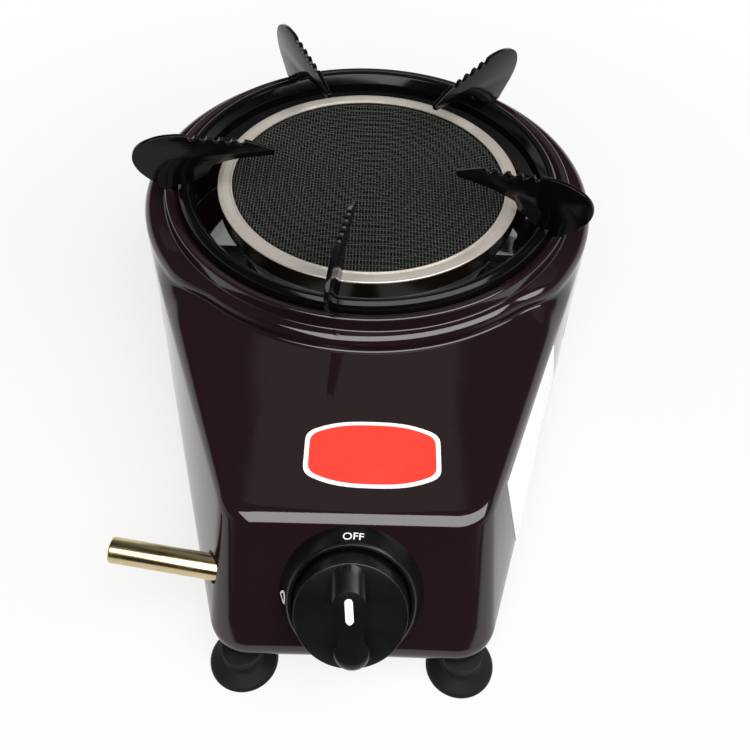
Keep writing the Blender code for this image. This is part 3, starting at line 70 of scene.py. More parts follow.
# Degrees from the front at which the step and its ledge end, and over which they fade
STEP_END_DEG, STEP_FADE_DEG = 54.0, 14.0
LEDGE_END_DEG, LEDGE_FADE_DEG = 58.0, 16.0
# A ledge narrower than this isn't formed; its fillet turns over this share of a narrow one
LEAST_LEDGE, TURN_SHARE = 0.03, 0.85
RIM_PROFILE = ((94.5, SHOULDER, 0.9), (93.5, 73.1, 1.1), (90.3, 72.5, 1.2), (87.6, 69.6, 1.2),
               (86.0, 69.2, 0))
VENT_AZIMUTHS, VENT_Z = (190.5, 209.5), 27.5
# Past this azimuth a vent lies in the straight side wall
VENT_ON_SIDE = 200
STEM_HOLE_R, TAIL_HOLE_R = 5.5, 5.8

# Control panel, knob and dial; the dial's cone runs from its foot to its lip
PANEL_HEAD = CORNER[1] + CORNER[2]
PANEL_FOOT = LOWER_CORNER[1] + LOWER_CORNER[2]
PANEL_LEAN = atan2(PANEL_FOOT - PANEL_HEAD, BOX_TOP - BOTTOM)
PANEL_UP = Vector((0, sin(PANEL_LEAN), cos(PANEL_LEAN)))
KNOB_LEFT, KNOB_DOWN = 0.7, 28.35
KNOB_AT = Vector((-KNOB_LEFT, -PANEL_HEAD, BOX_TOP)) - KNOB_DOWN * PANEL_UP
DIAL_FOOT_R, DIAL_FOOT_Z = 25.3, 0.3
DIAL_LIP_R, DIAL_LIP_Z = 22.45, 7.5

# Where the hose tail passes the left wall, and the way it points
TAIL_WALL = Vector((-57.0, -182.0, 35.0))
TAIL_FORWARD, TAIL_RISE = radians(6.0), radians(5.5)
TAIL_WAY = Vector((-cos(TAIL_FORWARD) * cos(TAIL_RISE),
                   sin(TAIL_FORWARD) * cos(TAIL_RISE), sin(TAIL_RISE)))

# A prong's tip radius, reach, the tray's crest and the rise above it; the tables hold shares of
# the reach and of the rise
TIP_R, REACH, CREST, RISE = 42.6, 62.1, 75.6, 25.8
PRONG_ARM = ((0.000, 0.589), (0.005, 0.535), (0.032, 0.488), (0.200, 0.481), (0.312, 0.453), (0.401, 0.403),
             (0.457, 0.364), (0.483, 0.240))
PRONG_FOOT = ((0.601, 0.066), (0.643, 0.027), (0.683, 0.016), (0.725, 0.012), (0.750, -0.031))
PRONG_SKIRT = ((0.765, -0.070), (0.815, -0.070), (0.844, 0.012), (0.884, 0.109))
PRONG_LOBE = ((0.924, 0.209), (0.950, 0.283), (0.973, 0.364), (0.990, 0.457), (1.000, 0.558), (0.997, 0.655),
              (0.981, 0.752), (0.955, 0.829), (0.916, 0.895), (0.873, 0.938), (0.818, 0.977), (0.763, 0.996),
              (0.715, 1.000), (0.673, 1.000), (0.625, 0.984))
PRONG_NOTCH_END = (0.196, 0.798)
PRONG_NOSE = ((0.158, 0.764), (0.095, 0.698), (0.047, 0.643), (0.011, 0.605))
# Notches of the top edge, their depth, and the flat land on each side as a share of the pitch
NOTCHES, NOTCH_DEPTH, LAND_SHARE = 5, 2.0, 0.16

MATH = "ShaderNodeMath"
SMOOTHSTEP = {"interpolation_type": "SMOOTHSTEP"}


# ---- helpers
def linear(code):
    """An sRGB hex colour as the linear values that a shader takes."""
    parts = [int(code[i:i + 2], 16) / 255 for i in (1, 3, 5)]
    return tuple(p / 12.92 if p <= 0.04045 else ((p + 0.055) / 1.055) ** 2.4 for p in parts) + (1,)


def add(tree, kind, settings, inputs):
    """A node with its settings; an input is a value, the socket that feeds it, or a node whose
    first output does."""
    node = tree.nodes.new(kind)
    for name, value in settings.items():
        setattr(node, name, value)
    for socket, value in inputs.items():
        if isinstance(value, bpy.types.Node):
            value = value.outputs[0]
        if isinstance(value, bpy.types.NodeSocket):
            tree.links.new(value, node.inputs[socket])
        else:
            node.inputs[socket].default_value = value
    return node


def mottled(name, colours, grain, roughness, bump, base):
    """A finish whose colour drifts between two hex colours over a grain in millimetres, whose
    roughness runs between two values and whose surface has a bump (its grain and depth, mm)."""
    made = bpy.data.materials.new(name)
    made.use_nodes = True
    tree = made.node_tree
    shader = tree.nodes["Principled BSDF"]
    where = add(tree, "ShaderNodeTexCoord", {}, {})
    placed = add(tree, "ShaderNodeMapping", {}, {"Vector": where.outputs["Object"]})
    drift = add(tree, "ShaderNodeTexNoise", {}, {
        "Vector": placed, "Scale": 1 / (grain * MM), "Detail": 4.0, "Roughness": 0.55})
    tint = add(tree, "ShaderNodeMix", {"data_type": "RGBA"}, {
        "Factor": drift.outputs["Fac"], "A": linear(colours[0]), "B": linear(colours[1])})
    tree.links.new(tint.outputs["Result"], shader.inputs["Base Color"])
    wear = add(tree, "ShaderNodeTexNoise", {}, {
        "Vector": placed, "Scale": 0.37 / (grain * MM), "Detail": 3.0})
    spread = add(tree, "ShaderNodeMapRange", {}, {
        "Value": wear.outputs["Fac"], "From Min": 0.3, "From Max": 0.7,
        "To Min": roughness[0], "To Max": roughness[1]})
    tree.links.new(spread.outputs["Result"], shader.inputs["Roughness"])
    skin = add(tree, "ShaderNodeTexNoise", {}, {
        "Vector": placed, "Scale": 1 / (bump[0] * MM), "Detail": 2.0})
    relief = add(tree, "ShaderNodeBump", {}, {
        "Height": skin.outputs["Fac"], "Distance": bump[1] * MM, "Strength": 1.0})
    tree.links.new(relief.outputs["Normal"], shader.inputs["Normal"])
    for socket, value in base.items():
        shader.inputs[socket].default_value = value
    return made


def link(name, data):
    """A new object in the scene that holds the data."""
    obj = bpy.data.objects.new(name, data)
    bpy.context.scene.collection.objects.link(obj)
    return obj


def weld(mesh, gap):
    """Joins points that are closer than the gap in millimetres and turns the faces outward."""
    build = bmesh.new()
    build.from_mesh(mesh)
    bmesh.ops.remove_doubles(build, verts=build.verts, dist=gap * MM)
    bmesh.ops.recalc_face_normals(build, faces=build.faces)
    build.to_mesh(mesh)
    build.free()


def shade(mesh, sharp_deg=35.0):
    """Smooth, but for the edges that bend more than an angle."""
    mesh.shade_smooth()
    mesh.set_sharp_from_angle(angle=radians(sharp_deg))


def evaluated(obj):
    """The object's mesh with its modifiers applied."""
    bpy.context.view_layer.update()
    graph = bpy.context.evaluated_depsgraph_get()
    return bpy.data.meshes.new_from_object(obj.evaluated_get(graph))


def mesh_piece(name, points, faces, looks):
    """A welded piece from points in metres, smooth but for its sharp edges."""
    mesh = bpy.data.meshes.new(name)
    mesh.from_pydata([tuple(p) for p in points], [], faces)
    mesh.update()
    weld(mesh, 0.002)
    mesh.materials.append(looks)
    shade(mesh)
    return link(name, mesh)


def drawn_mesh(name, drawing):
    """The mesh of a flat curve or of a word."""
    drawn = link(name, drawing)
    mesh = evaluated(drawn)
    bpy.data.objects.remove(drawn, do_unlink=True)
    return mesh


def closed_line(curve, spots):
    """Adds a closed line through flat points in millimetres."""
    line = curve.splines.new("POLY")
    line.points.add(len(spots) - 1)
    for point, (x, y) in zip(line.points, spots):
        point.co = (x * MM, y * MM, 0, 1)
    line.use_cyclic_u = True


def prism(name, spots, low, high, looks):
    """A flat outline in millimetres, raised along Z between two heights."""
    count = len(spots)
    points = [(x * MM, y * MM, z * MM) for z in (low, high) for x, y in spots]
    faces = [tuple(reversed(range(count))), tuple(range(count, 2 * count))]
    for k in range(count):
        m = (k + 1) % count
        faces.append((k, m, count + m, count + k))
    return mesh_piece(name, points, faces, looks)


def settle(obj, sharp_deg=35.0):
    """Applies the modifiers and the object's place, so that only a plain mesh is left."""
    mesh = evaluated(obj)
    mesh.transform(obj.matrix_world)
    obj.modifiers.clear()
    obj.data = mesh
    obj.matrix_world = Matrix.Identity(4)
    shade(mesh, sharp_deg)
    return obj


def move_mesh(obj, matrix):
    """Moves the mesh itself and leaves the object's place alone."""
    obj.data.transform(matrix)
    obj.data.update()
    return obj


def rounded(corners, steps=5):
    """A profile through (r, z, rounding) corners; each rounding becomes an arc."""
    line = []
    for i, (r, z, soft) in enumerate(corners):
        here = Vector((r, z))
        if soft == 0 or i in (0, len(corners) - 1):
            line.append(here)
            continue
        to_last = (Vector(corners[i - 1][:2]) - here).normalized()
        to_next = (Vector(corners[i + 1][:2]) - here).normalized()
        half = to_last.angle(to_next) / 2
        reach = soft / tan(half)
        centre = here + (to_last + to_next).normalized() * (soft / sin(half))
        first = here + to_last * reach - centre
        turn = first.angle_signed(here + to_next * reach - centre)
        for k in range(steps + 1):
            angle = -turn * k / steps
            line.append(centre + Vector((
                first.x * cos(angle) - first.y * sin(angle),
                first.x * sin(angle) + first.y * cos(angle))))
    return line


def turned(name, profile, steps, looks, matrix):
    """A closed profile of (r, z) millimetres turned about Z, then placed."""
    points, faces = [], []
    count = len(profile)
    for i in range(steps):
        angle = 2 * pi * i / steps
        points += [(r * MM * cos(angle), r * MM * sin(angle), z * MM) for r, z in profile]
    for i in range(steps):
        j = (i + 1) % steps
        for k in range(count):
            m = (k + 1) % count
            if max(profile[k][0], profile[m][0]) > 0:
                faces.append((i * count + k, j * count + k, j * count + m, i * count + m))
    return move_mesh(mesh_piece(name, points, faces, looks), matrix)


def mix(first, second, share):
    """The value a share of the way from the first to the second."""
    return first + (second - first) * share


def smooth_share(share):
    """A share held between 0 and 1, eased at both ends."""
    held = min(max(share, 0), 1)
    return held * held * (3 - 2 * held)


AT_BURNER = Matrix.Translation(BURNER)
AT_KNOB = AT_BURNER @ Matrix.Translation(KNOB_AT * MM) @ Matrix.Rotation(pi / 2 - PANEL_LEAN, 4, "X")
AT_TAIL = (AT_BURNER @ Matrix.Translation(TAIL_WALL * MM)
           @ TAIL_WAY.to_track_quat("Z", "Y").to_matrix().to_4x4())
# In the photograph the knob rests a few degrees off its stop
KNOB_TURNED = Matrix.Rotation(radians(4.5), 4, "Z")


# ---- camera, light and sweep
def set_camera():
    """The photograph's view: close, from above the control panel."""
    yaw, pitch, roll = (radians(v) for v in (1.1418, -49.6838, 2.7466))
    eye = Vector((2.5, -328.7, 318.6))
    forward = Vector((sin(yaw) * cos(pitch), cos(yaw) * cos(pitch), sin(pitch)))
    right = Vector((cos(yaw), -sin(yaw), 0))
    up = right.cross(forward)
    across = cos(roll) * right + sin(roll) * up
    upright = cos(roll) * up - sin(roll) * right
    data = bpy.data.cameras.new("camera")
    data.sensor_width = 36.0
    data.lens = 41.2
    data.shift_x = -0.0056
    data.shift_y = -0.0039
    camera = link("camera", data)
    place = Matrix((across, upright, -forward)).transposed().to_4x4()
    place.translation = BURNER + eye * MM
    camera.matrix_world = place
    bpy.context.scene.camera = camera
    bpy.context.scene.view_settings.view_transform = "Standard"


def set_lamp():
    """One soft ceiling panel in front of the stove, faintly warm; strength is its face's brightness."""
    centre, aim = Vector((0.35, -0.72, 1.45)), Vector((0, 0, 0.05))
    strength = 6.2
    data = bpy.data.lights.new("ceiling_panel", "AREA")
    data.shape = "RECTANGLE"
    data.size, data.size_y = 2.6, 1.35
    data.energy = strength * pi * data.size * data.size_y
    data.color = (1.0, 0.965, 0.955)
    lamp = link("ceiling_panel", data)
    lamp.location = centre
    lamp.rotation_euler = (aim - centre).to_track_quat("-Z", "Y").to_euler()


def set_sweep():
    """White paper sweep: it keeps the stove's shadow, and gloss sees it as white as the eye does."""
    reach = 6.0
    white = bpy.data.materials.new("white_sweep_paper")
    white.use_nodes = True
    tree = white.node_tree
    tree.nodes.clear()
    path = add(tree, "ShaderNodeLightPath", {}, {})
    seen = path.outputs["Is Camera Ray"]
    for ray in ("Is Glossy Ray", "Is Transmission Ray"):
        seen = add(tree, MATH, {"operation": "MAXIMUM"}, {0: seen, 1: path.outputs[ray]})
    # The paper's glow grows with the distance from the burner; below the drum a mask cuts it down, a painted
    # shade under the stove
    where = add(tree, "ShaderNodeTexCoord", {}, {})
    away = add(tree, "ShaderNodeVectorMath", {"operation": "DISTANCE"}, {
        0: where.outputs["Object"], 1: BURNER})
    far = add(tree, "ShaderNodeMapRange", SMOOTHSTEP, {
        "Value": away.outputs["Value"], "From Min": 0.10, "From Max": 0.42, "To Min": 0.73, "To Max": 1.0})
    # Painted shade: the glow drops within the drum's reach
    under = add(tree, "ShaderNodeMapRange", {}, {
        "Value": away.outputs["Value"], "From Min": 0.100, "From Max": 0.106, "To Min": 0.15, "To Max": 1.0})
    share = add(tree, MATH, {"operation": "MULTIPLY"}, {0: seen, 1: far})
    share = add(tree, MATH, {"operation": "MULTIPLY"}, {0: share, 1: under})
    # Out of the picture, in front of the stove, the paper's colour and glow fade to a painted shade that
    # stands in for the dark room
    axes = add(tree, "ShaderNodeSeparateXYZ", {}, {0: where.outputs["Object"]})
    lit = add(tree, "ShaderNodeMapRange", SMOOTHSTEP, {
        "Value": axes.outputs["Y"], "From Min": -0.62, "From Max": -0.22, "To Min": 0.03, "To Max": 1.0})
    tone_with_painted_shade = add(tree, "ShaderNodeMix", {"data_type": "RGBA"}, {
        "Factor": lit, "A": (0.02, 0.02, 0.02, 1), "B": linear("#c6c6c4")})
    paper = add(tree, "ShaderNodeBsdfDiffuse", {}, {"Color": tone_with_painted_shade.outputs["Result"]})
    glow = add(tree, "ShaderNodeEmission", {}, {"Color": (1, 1, 1, 1), "Strength": lit})
    blend = add(tree, "ShaderNodeMixShader", {}, {0: share, 1: paper, 2: glow})
    add(tree, "ShaderNodeOutputMaterial", {}, {"Surface": blend})
    mesh = bpy.data.meshes.new("floor_sweep")
    mesh.from_pydata([(-reach, -reach, 0), (reach, -reach, 0), (reach, reach, 0), (-reach, reach, 0)],
                     [], [(0, 1, 2, 3)])
    mesh.materials.append(white)
    floor = link("floor_sweep", mesh)


def set_room():
    """White near the horizon, a dim wall behind the stove that the deck mirrors between two
    upright edges, dark at the sides, overhead and behind the camera."""
    world = bpy.data.worlds.new("room")
    bpy.context.scene.world = world
    world.use_nodes = True
    tree = world.node_tree
    tree.nodes.clear()
    way = add(tree, "ShaderNodeTexCoord", {}, {})
    axes = add(tree, "ShaderNodeSeparateXYZ", {}, {"Vector": way.outputs["Generated"]})
    low = add(tree, "ShaderNodeMapRange", SMOOTHSTEP, {
        "Value": axes.outputs["Z"], "From Min": 0.10, "From Max": 0.42, "To Min": 0.95, "To Max": 0.03})
    depth = add(tree, MATH, {"operation": "MAXIMUM"}, {0: axes.outputs["Y"], 1: 0.01})
    slant = add(tree, MATH, {"operation": "DIVIDE"}, {0: axes.outputs["X"], 1: depth})
    left_edge = add(tree, "ShaderNodeMapRange", {}, {
        "Value": slant, "From Min": -0.305, "From Max": -0.285, "To Min": 0.0, "To Max": 1.0})
    right_edge = add(tree, "ShaderNodeMapRange", {}, {
        "Value": slant, "From Min": 0.240, "From Max": 0.255, "To Min": 0.24, "To Max": 0.0})
    wall = add(tree, MATH, {"operation": "MULTIPLY"}, {0: left_edge, 1: right_edge})
    level = add(tree, MATH, {"operation": "MAXIMUM"}, {0: low, 1: wall})
    front = add(tree, "ShaderNodeMapRange", SMOOTHSTEP, {
        "Value": axes.outputs["Y"], "From Min": -0.80, "From Max": -0.10, "To Min": 0.03, "To Max": 1.0})
    level = add(tree, MATH, {"operation": "MULTIPLY"}, {0: level, 1: front})
    path = add(tree, "ShaderNodeLightPath", {}, {})
    shown = add(tree, "ShaderNodeMix", {"data_type": "FLOAT"}, {
        "Factor": path.outputs["Is Camera Ray"], "A": level, "B": 1.0})
    room = add(tree, "ShaderNodeBackground", {}, {"Color": (1, 1, 1, 1), "Strength": shown.outputs["Result"]})
    add(tree, "ShaderNodeOutputWorld", {}, {"Surface": room})


# ---- finishes
FINISHES = {
    # Porcelain enamel, fired: near-black maroon, wet gloss with a faint orange peel
    "housing_enamel": mottled(
        "porcelain_enamel_maroon", ("#180e10", "#1d1113"), 1.2, (0.05, 0.08), (5.0, 0.010), {"IOR": 1.54}),
    # Black enamel on pressed steel: hard gloss that mirrors the rim and the sweep
    "black_enamel": mottled(
        "porcelain_enamel_black", ("#050505", "#090909"), 3.0, (0.10, 0.16), (2.5, 0.012),
        {"IOR": 1.52, "Specular IOR Level": 0.19}),
    # Moulded phenolic: black with a slight green-grey cast, satin from the mould's texture
    "dark_plastic": mottled(
        "moulded_phenolic_black", ("#060707", "#0b0c0c"), 4.0, (0.24, 0.32), (0.35, 0.004),
        {"IOR": 1.52, "Specular IOR Level": 0.32}),
    # Nitrile rubber: matte black with a dusty bloom
    "grey_rubber": mottled(
        "moulded_rubber_black", ("#08090a", "#101112"), 6.0, (0.42, 0.58), (0.5, 0.010),
        {"IOR": 1.5, "Specular IOR Level": 0.16}),
    # Zinc-plated mild steel: bright, cool, slightly streaked by the press
    "steel": mottled(
        "zinc_plated_steel", ("#b4b5b6", "#c9cacb"), 2.5, (0.22, 0.36), (0.6, 0.003), {"Metallic": 1.0}),
    # Oxidised heat-resistant wire: charcoal with a brown-green cast
    "mesh_steel": mottled(
        "oxidised_heat_wire", ("#4a4f4a", "#666b65"), 1.5, (0.35, 0.50), (0.4, 0.004), {"Metallic": 0.7}),
    # Turned brass: warm yellow with lathe bloom
    "brass": mottled(
        "turned_brass", ("#c9a45c", "#d8b873"), 3.0, (0.20, 0.34), (0.4, 0.002), {"Metallic": 1.0}),
    # Yellow-passivated zinc: pale gold that drifts to pink and green
    "yellow_zinc": mottled(
        "yellow_passivated_zinc", ("#b9a06a", "#d9cba6"), 4.0, (0.14, 0.24), (1.2, 0.006),
        {"Metallic": 1.0}),
    # Pressed and cast aluminium: dull grey with a fine sandy skin
    "cast_aluminium": mottled(
        "cast_aluminium_dull", ("#8f9091", "#a6a7a8"), 1.8, (0.40, 0.58), (0.5, 0.030), {"Metallic": 1.0}),
    # Fired burner plate, dry and porous, painted near black as the shade below the mesh, so that the holes of
    # the mesh look black
    "ceramic": mottled(
        "fired_cordierite_dark", ("#040404", "#080808"), 0.8, (0.80, 0.95), (0.6, 0.040),
        {"Specular IOR Level": 0.1}),
    # Pressed ceramic fibre: off-white felt
    "fibre_gasket": mottled(
        "ceramic_fibre_felt", ("#c9c6be", "#dedbd4"), 0.9, (0.85, 0.97), (0.4, 0.060), {}),
    # ABS igniter shell: plain black, semi-gloss
    "igniter_plastic": mottled(
        "moulded_abs_black", ("#0e0e0f", "#161617"), 5.0, (0.28, 0.38), (0.5, 0.004), {}),
    # Silicone sleeve on the lead: brick red, waxy
    "lead_sleeve": mottled(
        "silicone_sleeve_red", ("#8a2418", "#a33224"), 3.0, (0.45, 0.58), (0.8, 0.008), {}),
}
# Spun stainless trim: warm bright grey, turned marks run round the ring
TRIM_STEEL = mottled(
    "spun_stainless_steel", ("#b2aea5", "#c2beb5"), 6.0, (0.20, 0.26), (4.0, 0.001), {"Metallic": 0.45})
# The mesh's cross wires: the same heat wire with painted shade, darker than the wires that run to the back,
# so that those stand out as lines
CROSS_WIRE_SHADED = mottled(
    "heat_wire_painted_shade", ("#282c29", "#393e3a"), 1.5, (0.45, 0.60), (0.4, 0.004), {"Metallic": 0.7})
# Pad-printed ink: flat white with a slightly uneven edge
WHITE_INK = mottled("pad_printed_white", ("#dcdde2", "#f1f1f4"), 0.6, (0.45, 0.60), (0.3, 0.002), {})
# Gloss vinyl: the label's plain red field
RED_VINYL = mottled("gloss_vinyl_red", ("#d0352a", "#db3f32"), 9.0, (0.22, 0.30), (2.0, 0.004), {})
# Gloss vinyl: the label's white border and the plain sticker
WHITE_VINYL = mottled("gloss_vinyl_white", ("#dfdfdf", "#ececec"), 9.0, (0.24, 0.34), (2.0, 0.004), {})


def paint_skirt_shade():
    """Below its crown the trim ring is darkened, faintly golden: painted shade for the recess that it sinks
    into.
    """
    # Painted shade below the crown, fading out between these two heights
    shade_top, crown_foot = 70.1, 70.6
    tree = TRIM_STEEL.node_tree
    shader = tree.nodes["Principled BSDF"]
    where = add(tree, "ShaderNodeTexCoord", {}, {})
    axes = add(tree, "ShaderNodeSeparateXYZ", {}, {0: where.outputs["Object"]})
    crown = add(tree, "ShaderNodeMapRange", SMOOTHSTEP, {
        "Value": axes.outputs["Z"], "From Min": shade_top * MM, "From Max": crown_foot * MM,
        "To Min": 0.0, "To Max": 1.0})
    unshaded = shader.inputs["Base Color"].links[0].from_socket
    tint = add(tree, "ShaderNodeMix", {"data_type": "RGBA"}, {
        "Factor": crown, "A": linear("#17130d"), "B": unshaded})
    tree.links.new(tint.outputs["Result"], shader.inputs["Base Color"])


def dress_solids():
    """Every solid of the part gets its record's finish."""
    slots = {part["node"]: part["material_slot"] for part in frame["record"]["subparts"]}
    for name, node in frame["nodes"].items():
        node.data.materials.clear()
        node.data.materials.append(FINISHES[slots[name]])


# ---- housing
def side_normal(drum_r, corner):
    """Azimuth of the normal of the straight side between the drum and the right corner."""
    away = hypot(corner[0], corner[1])
    return atan2(-corner[1], corner[0]) + acos((drum_r - corner[2]) / away)


def outline(column, drum_r, corner):
    """A point of the outline, seen from above. A column is its stretch and its share of it."""
    kind, share = column
    x, y, soft = corner
    normal = side_normal(drum_r, corner)
    out = Vector((cos(normal), sin(normal)))
    if kind == "drum":
        angle = mix(normal, pi - normal, share)
        return drum_r * Vector((cos(angle), sin(angle)))
    if kind == "front":
        return Vector((mix(-x, x, share), -y - soft))
    if kind.endswith("side"):
        spot = mix(drum_r * out, Vector((x, -y)) + soft * out, share)
    else:
        angle = mix(normal, -pi / 2, share)
        spot = Vector((x, -y)) + soft * Vector((cos(angle), sin(angle)))
    return Vector((-spot.x, spot.y)) if kind.startswith("left") else spot


def fillet(corner, first_way, second_way, soft, turn):
    """The fillet's point after a turn that starts on the first way and ends on the second."""
    half = first_way.angle(second_way) / 2
    centre = corner + (first_way + second_way).normalized() * (soft / sin(half))
    spoke = (corner + first_way * (soft / tan(half)) - centre).normalized()
    return centre + soft * (cos(turn) * spoke - sin(turn) * first_way)


def turn_at(corner, first_way, second_way, soft, reach):
    """The turn at which the fillet lies a given reach inward of its corner."""
    low, high = 0, pi - first_way.angle(second_way)
    for _ in range(40):
        middle = (low + high) / 2
        if (fillet(corner, first_way, second_way, soft, middle) - corner).dot(second_way) < reach:
            low = middle
        else:
            high = middle
    return low


def housing_column(column):
    """From the flange's inner edge, round the lower edge, up the wall, over the ledge and the
    shoulder to the rim that holds the tray. In front the drum's upper wall steps in over a formed
    ledge; towards the sides both fade into one plain wall."""
    lower = outline(column, DRUM_R + DRUM_LEAN, LOWER_CORNER)
    upper = outline(column, DRUM_R, CORNER)
    inner = outline(column, FLANGE_R, FLANGE_CORNER)
    low = Vector((lower.x, lower.y, BOTTOM))
    high = Vector((upper.x, upper.y, BOX_TOP))
    edge = Vector((inner.x, inner.y, BOTTOM))
    azimuth = atan2(upper.y, upper.x)
    if azimuth > pi / 2:
        azimuth -= 2 * pi
    past = abs(degrees(azimuth + pi / 2))
    radius = mix(DRUM_R, STEP_R, smooth_share((STEP_END_DEG - past) / STEP_FADE_DEG))
    spoke = Vector((cos(azimuth), sin(azimuth), 0))
    up_wall = (high - low).normalized()
    inward = (edge - low).normalized()
    full_turn = pi - up_wall.angle(inward)
    rows = [edge, mix(edge, low, 0.5)]
    rows += [fillet(low, up_wall, inward, LOWER_ROUND, full_turn * k / 10) for k in range(10, -1, -1)]
    wall_foot = rows[-1]

    down_wall = -up_wall
    ledge = upper.length - radius
    foot = min(FOOT_ROUND, ledge / 3)
    reach = TOP_ROUND / tan(down_wall.angle(-spoke) / 2)
    plain = []
    for k in range(23):
        height = mix(BOX_TOP - reach, BOX_TOP + FOOT_ROUND, k / 22)
        wall = high + down_wall * ((height - BOX_TOP) / down_wall.z)
        plain.append(mix(wall, spoke * radius + Vector((0, 0, height)), smooth_share(k / 22)))
    formed = plain
    if ledge > LEAST_LEDGE:
        last_turn = pi - down_wall.angle(-spoke)
        if reach > TURN_SHARE * (ledge - foot):
            last_turn = turn_at(high, down_wall, -spoke, TOP_ROUND, TURN_SHARE * (ledge - foot))
        formed = [fillet(high, down_wall, -spoke, TOP_ROUND, last_turn * k / 15) for k in range(16)]
        foot_z = BOX_TOP
        if reach > ledge - foot:
            turn = turn_at(high, down_wall, -spoke, TOP_ROUND, ledge - foot)
            foot_z = fillet(high, down_wall, -spoke, TOP_ROUND, turn).z
        for k in range(7):
            turn = pi / 2 * k / 6
            formed.append(spoke * (radius + foot * (1 - sin(turn)))
                          + Vector((0, 0, foot_z + FOOT_ROUND * (1 - cos(turn)))))
    share = smooth_share((LEDGE_END_DEG - past) / LEDGE_FADE_DEG)
    rows += [mix(wall_foot, mix(plain[0], formed[0], share), k / 6) for k in range(1, 6)]
    rows += [mix(one, other, share) for one, other in zip(plain, formed)]
    drum_wall = [(radius, BOX_TOP + FOOT_ROUND, 0), (radius, SHOULDER, SHOULDER_ROUND)]
    rows += [spoke * r + Vector((0, 0, z)) for r, z in rounded([*drum_wall, *RIM_PROFILE], 6)[1:]]
    return rows


def make_housing():
    """One pressed sheet lofted through its columns, with the stem's, the tail's and the vents' holes."""
    normal = side_normal(DRUM_R, CORNER)
    length = sqrt(CORNER[0] ** 2 + CORNER[1] ** 2 - (DRUM_R - CORNER[2]) ** 2)
    first = 180 - degrees(normal)
    side_end = outline(("left_side", 1), DRUM_R, CORNER)
    last = degrees(atan2(side_end.y, side_end.x)) + 360
    shares = []
    for k in range(1, 40):
        azimuth = mix(first, last, k / 40)
        shares.append(DRUM_R * tan(radians(azimuth - 180) + normal) / length)
    columns = [("drum", i / 120) for i in range(121)]
    columns += [("left_side", share) for share in shares]
    columns += [("left_corner", i / 16) for i in range(17)]
    columns += [("front", i / 16) for i in range(1, 16)]
    columns += [("right_corner", 1 - i / 16) for i in range(17)]
    columns += [("right_side", share) for share in reversed(shares)]
    grid = [housing_column(column) for column in columns]
    rows = len(grid[0])
    faces = []
    for i in range(len(grid)):
        j = (i + 1) % len(grid)
        for k in range(rows - 1):
            faces.append((i * rows + k, j * rows + k, j * rows + k + 1, i * rows + k + 1))
    skin = mesh_piece("housing_skin", [(p * MM) + BURNER for column in grid for p in column], faces,
                      FINISHES["housing_enamel"])
    sheet = skin.modifiers.new("Sheet", "SOLIDIFY")
    sheet.thickness = SHEET * MM
    sheet.offset = -1
    cutters = [rod("stem_hole", STEM_HOLE_R, -4.0, 2.0, AT_KNOB),
               rod("tail_hole", TAIL_HOLE_R, -8.0, 8.0, AT_TAIL)]
    for azimuth in VENT_AZIMUTHS:
        for facing in (azimuth, 540 - azimuth):
            lean = radians(abs(azimuth - 180)) + normal
            wall = DRUM_R / cos(lean) if azimuth > VENT_ON_SIDE else DRUM_R
            spot = (Matrix.Rotation(radians(facing), 4, "Z")
                    @ Matrix.Translation((wall * MM, 0, VENT_Z * MM)))
            cutters.append(vent_cutter(f"vent_{facing:.0f}", AT_BURNER @ spot))
    for cutter in cutters:
        change = skin.modifiers.new(cutter.name, "BOOLEAN")
        change.operation = "DIFFERENCE"
        change.solver = "EXACT"
        change.object = cutter
    settle(skin)
    for cutter in cutters:
        bpy.data.objects.remove(cutter, do_unlink=True)
    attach(skin, "stove")
    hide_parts("housing")


def rod(name, radius, low, high, matrix):
    """A round cutter between two heights."""
    return turned(name, [(0, low), (radius, low), (radius, high), (0, high)], 48, WHITE_INK, matrix)


def vent_cutter(name, matrix):
    """A louvre slot 21 mm long with rounded ends, which cuts along X."""
    depth, end_r, end_at = 3.0, 1.4, 9.1
    spots = []
    for side, start in ((1, -90), (-1, 90)):
        for k in range(9):
            angle = radians(start + 180 * k / 8)
            spots.append((side * end_at + end_r * cos(angle), end_r * sin(angle)))
    on_edge = Matrix(((0, 0, 1, 0), (1, 0, 0, 0), (0, 1, 0, 0), (0, 0, 0, 1)))
    return move_mesh(prism(name, spots, -depth, depth, WHITE_INK), matrix @ on_edge)


# ---- burner
def make_trim_ring():
    """Thin stainless ring, crowned, with a rolled outer skirt."""
    profile = rounded([
        (63.6, 70.3, 0), (63.6, 71.0, 0.15), (64.3, 71.0, 0.25), (64.6, 70.5, 0.1), (65.1, 70.85, 0.2),
        (67.8, 71.2, 1.5), (70.2, 70.9, 0.6), (70.2, 62.0, 0),
    ], 5)
    inner = rounded([(69.6, 62.0, 0), (69.6, 70.4, 0.4), (67.5, 70.6, 1.0), (63.6, 70.3, 0)], 4)[:-1]
    ring = turned("trim_ring", profile + inner, 192, TRIM_STEEL, AT_BURNER)
    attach(ring, "stove")
    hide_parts("burner_ring")


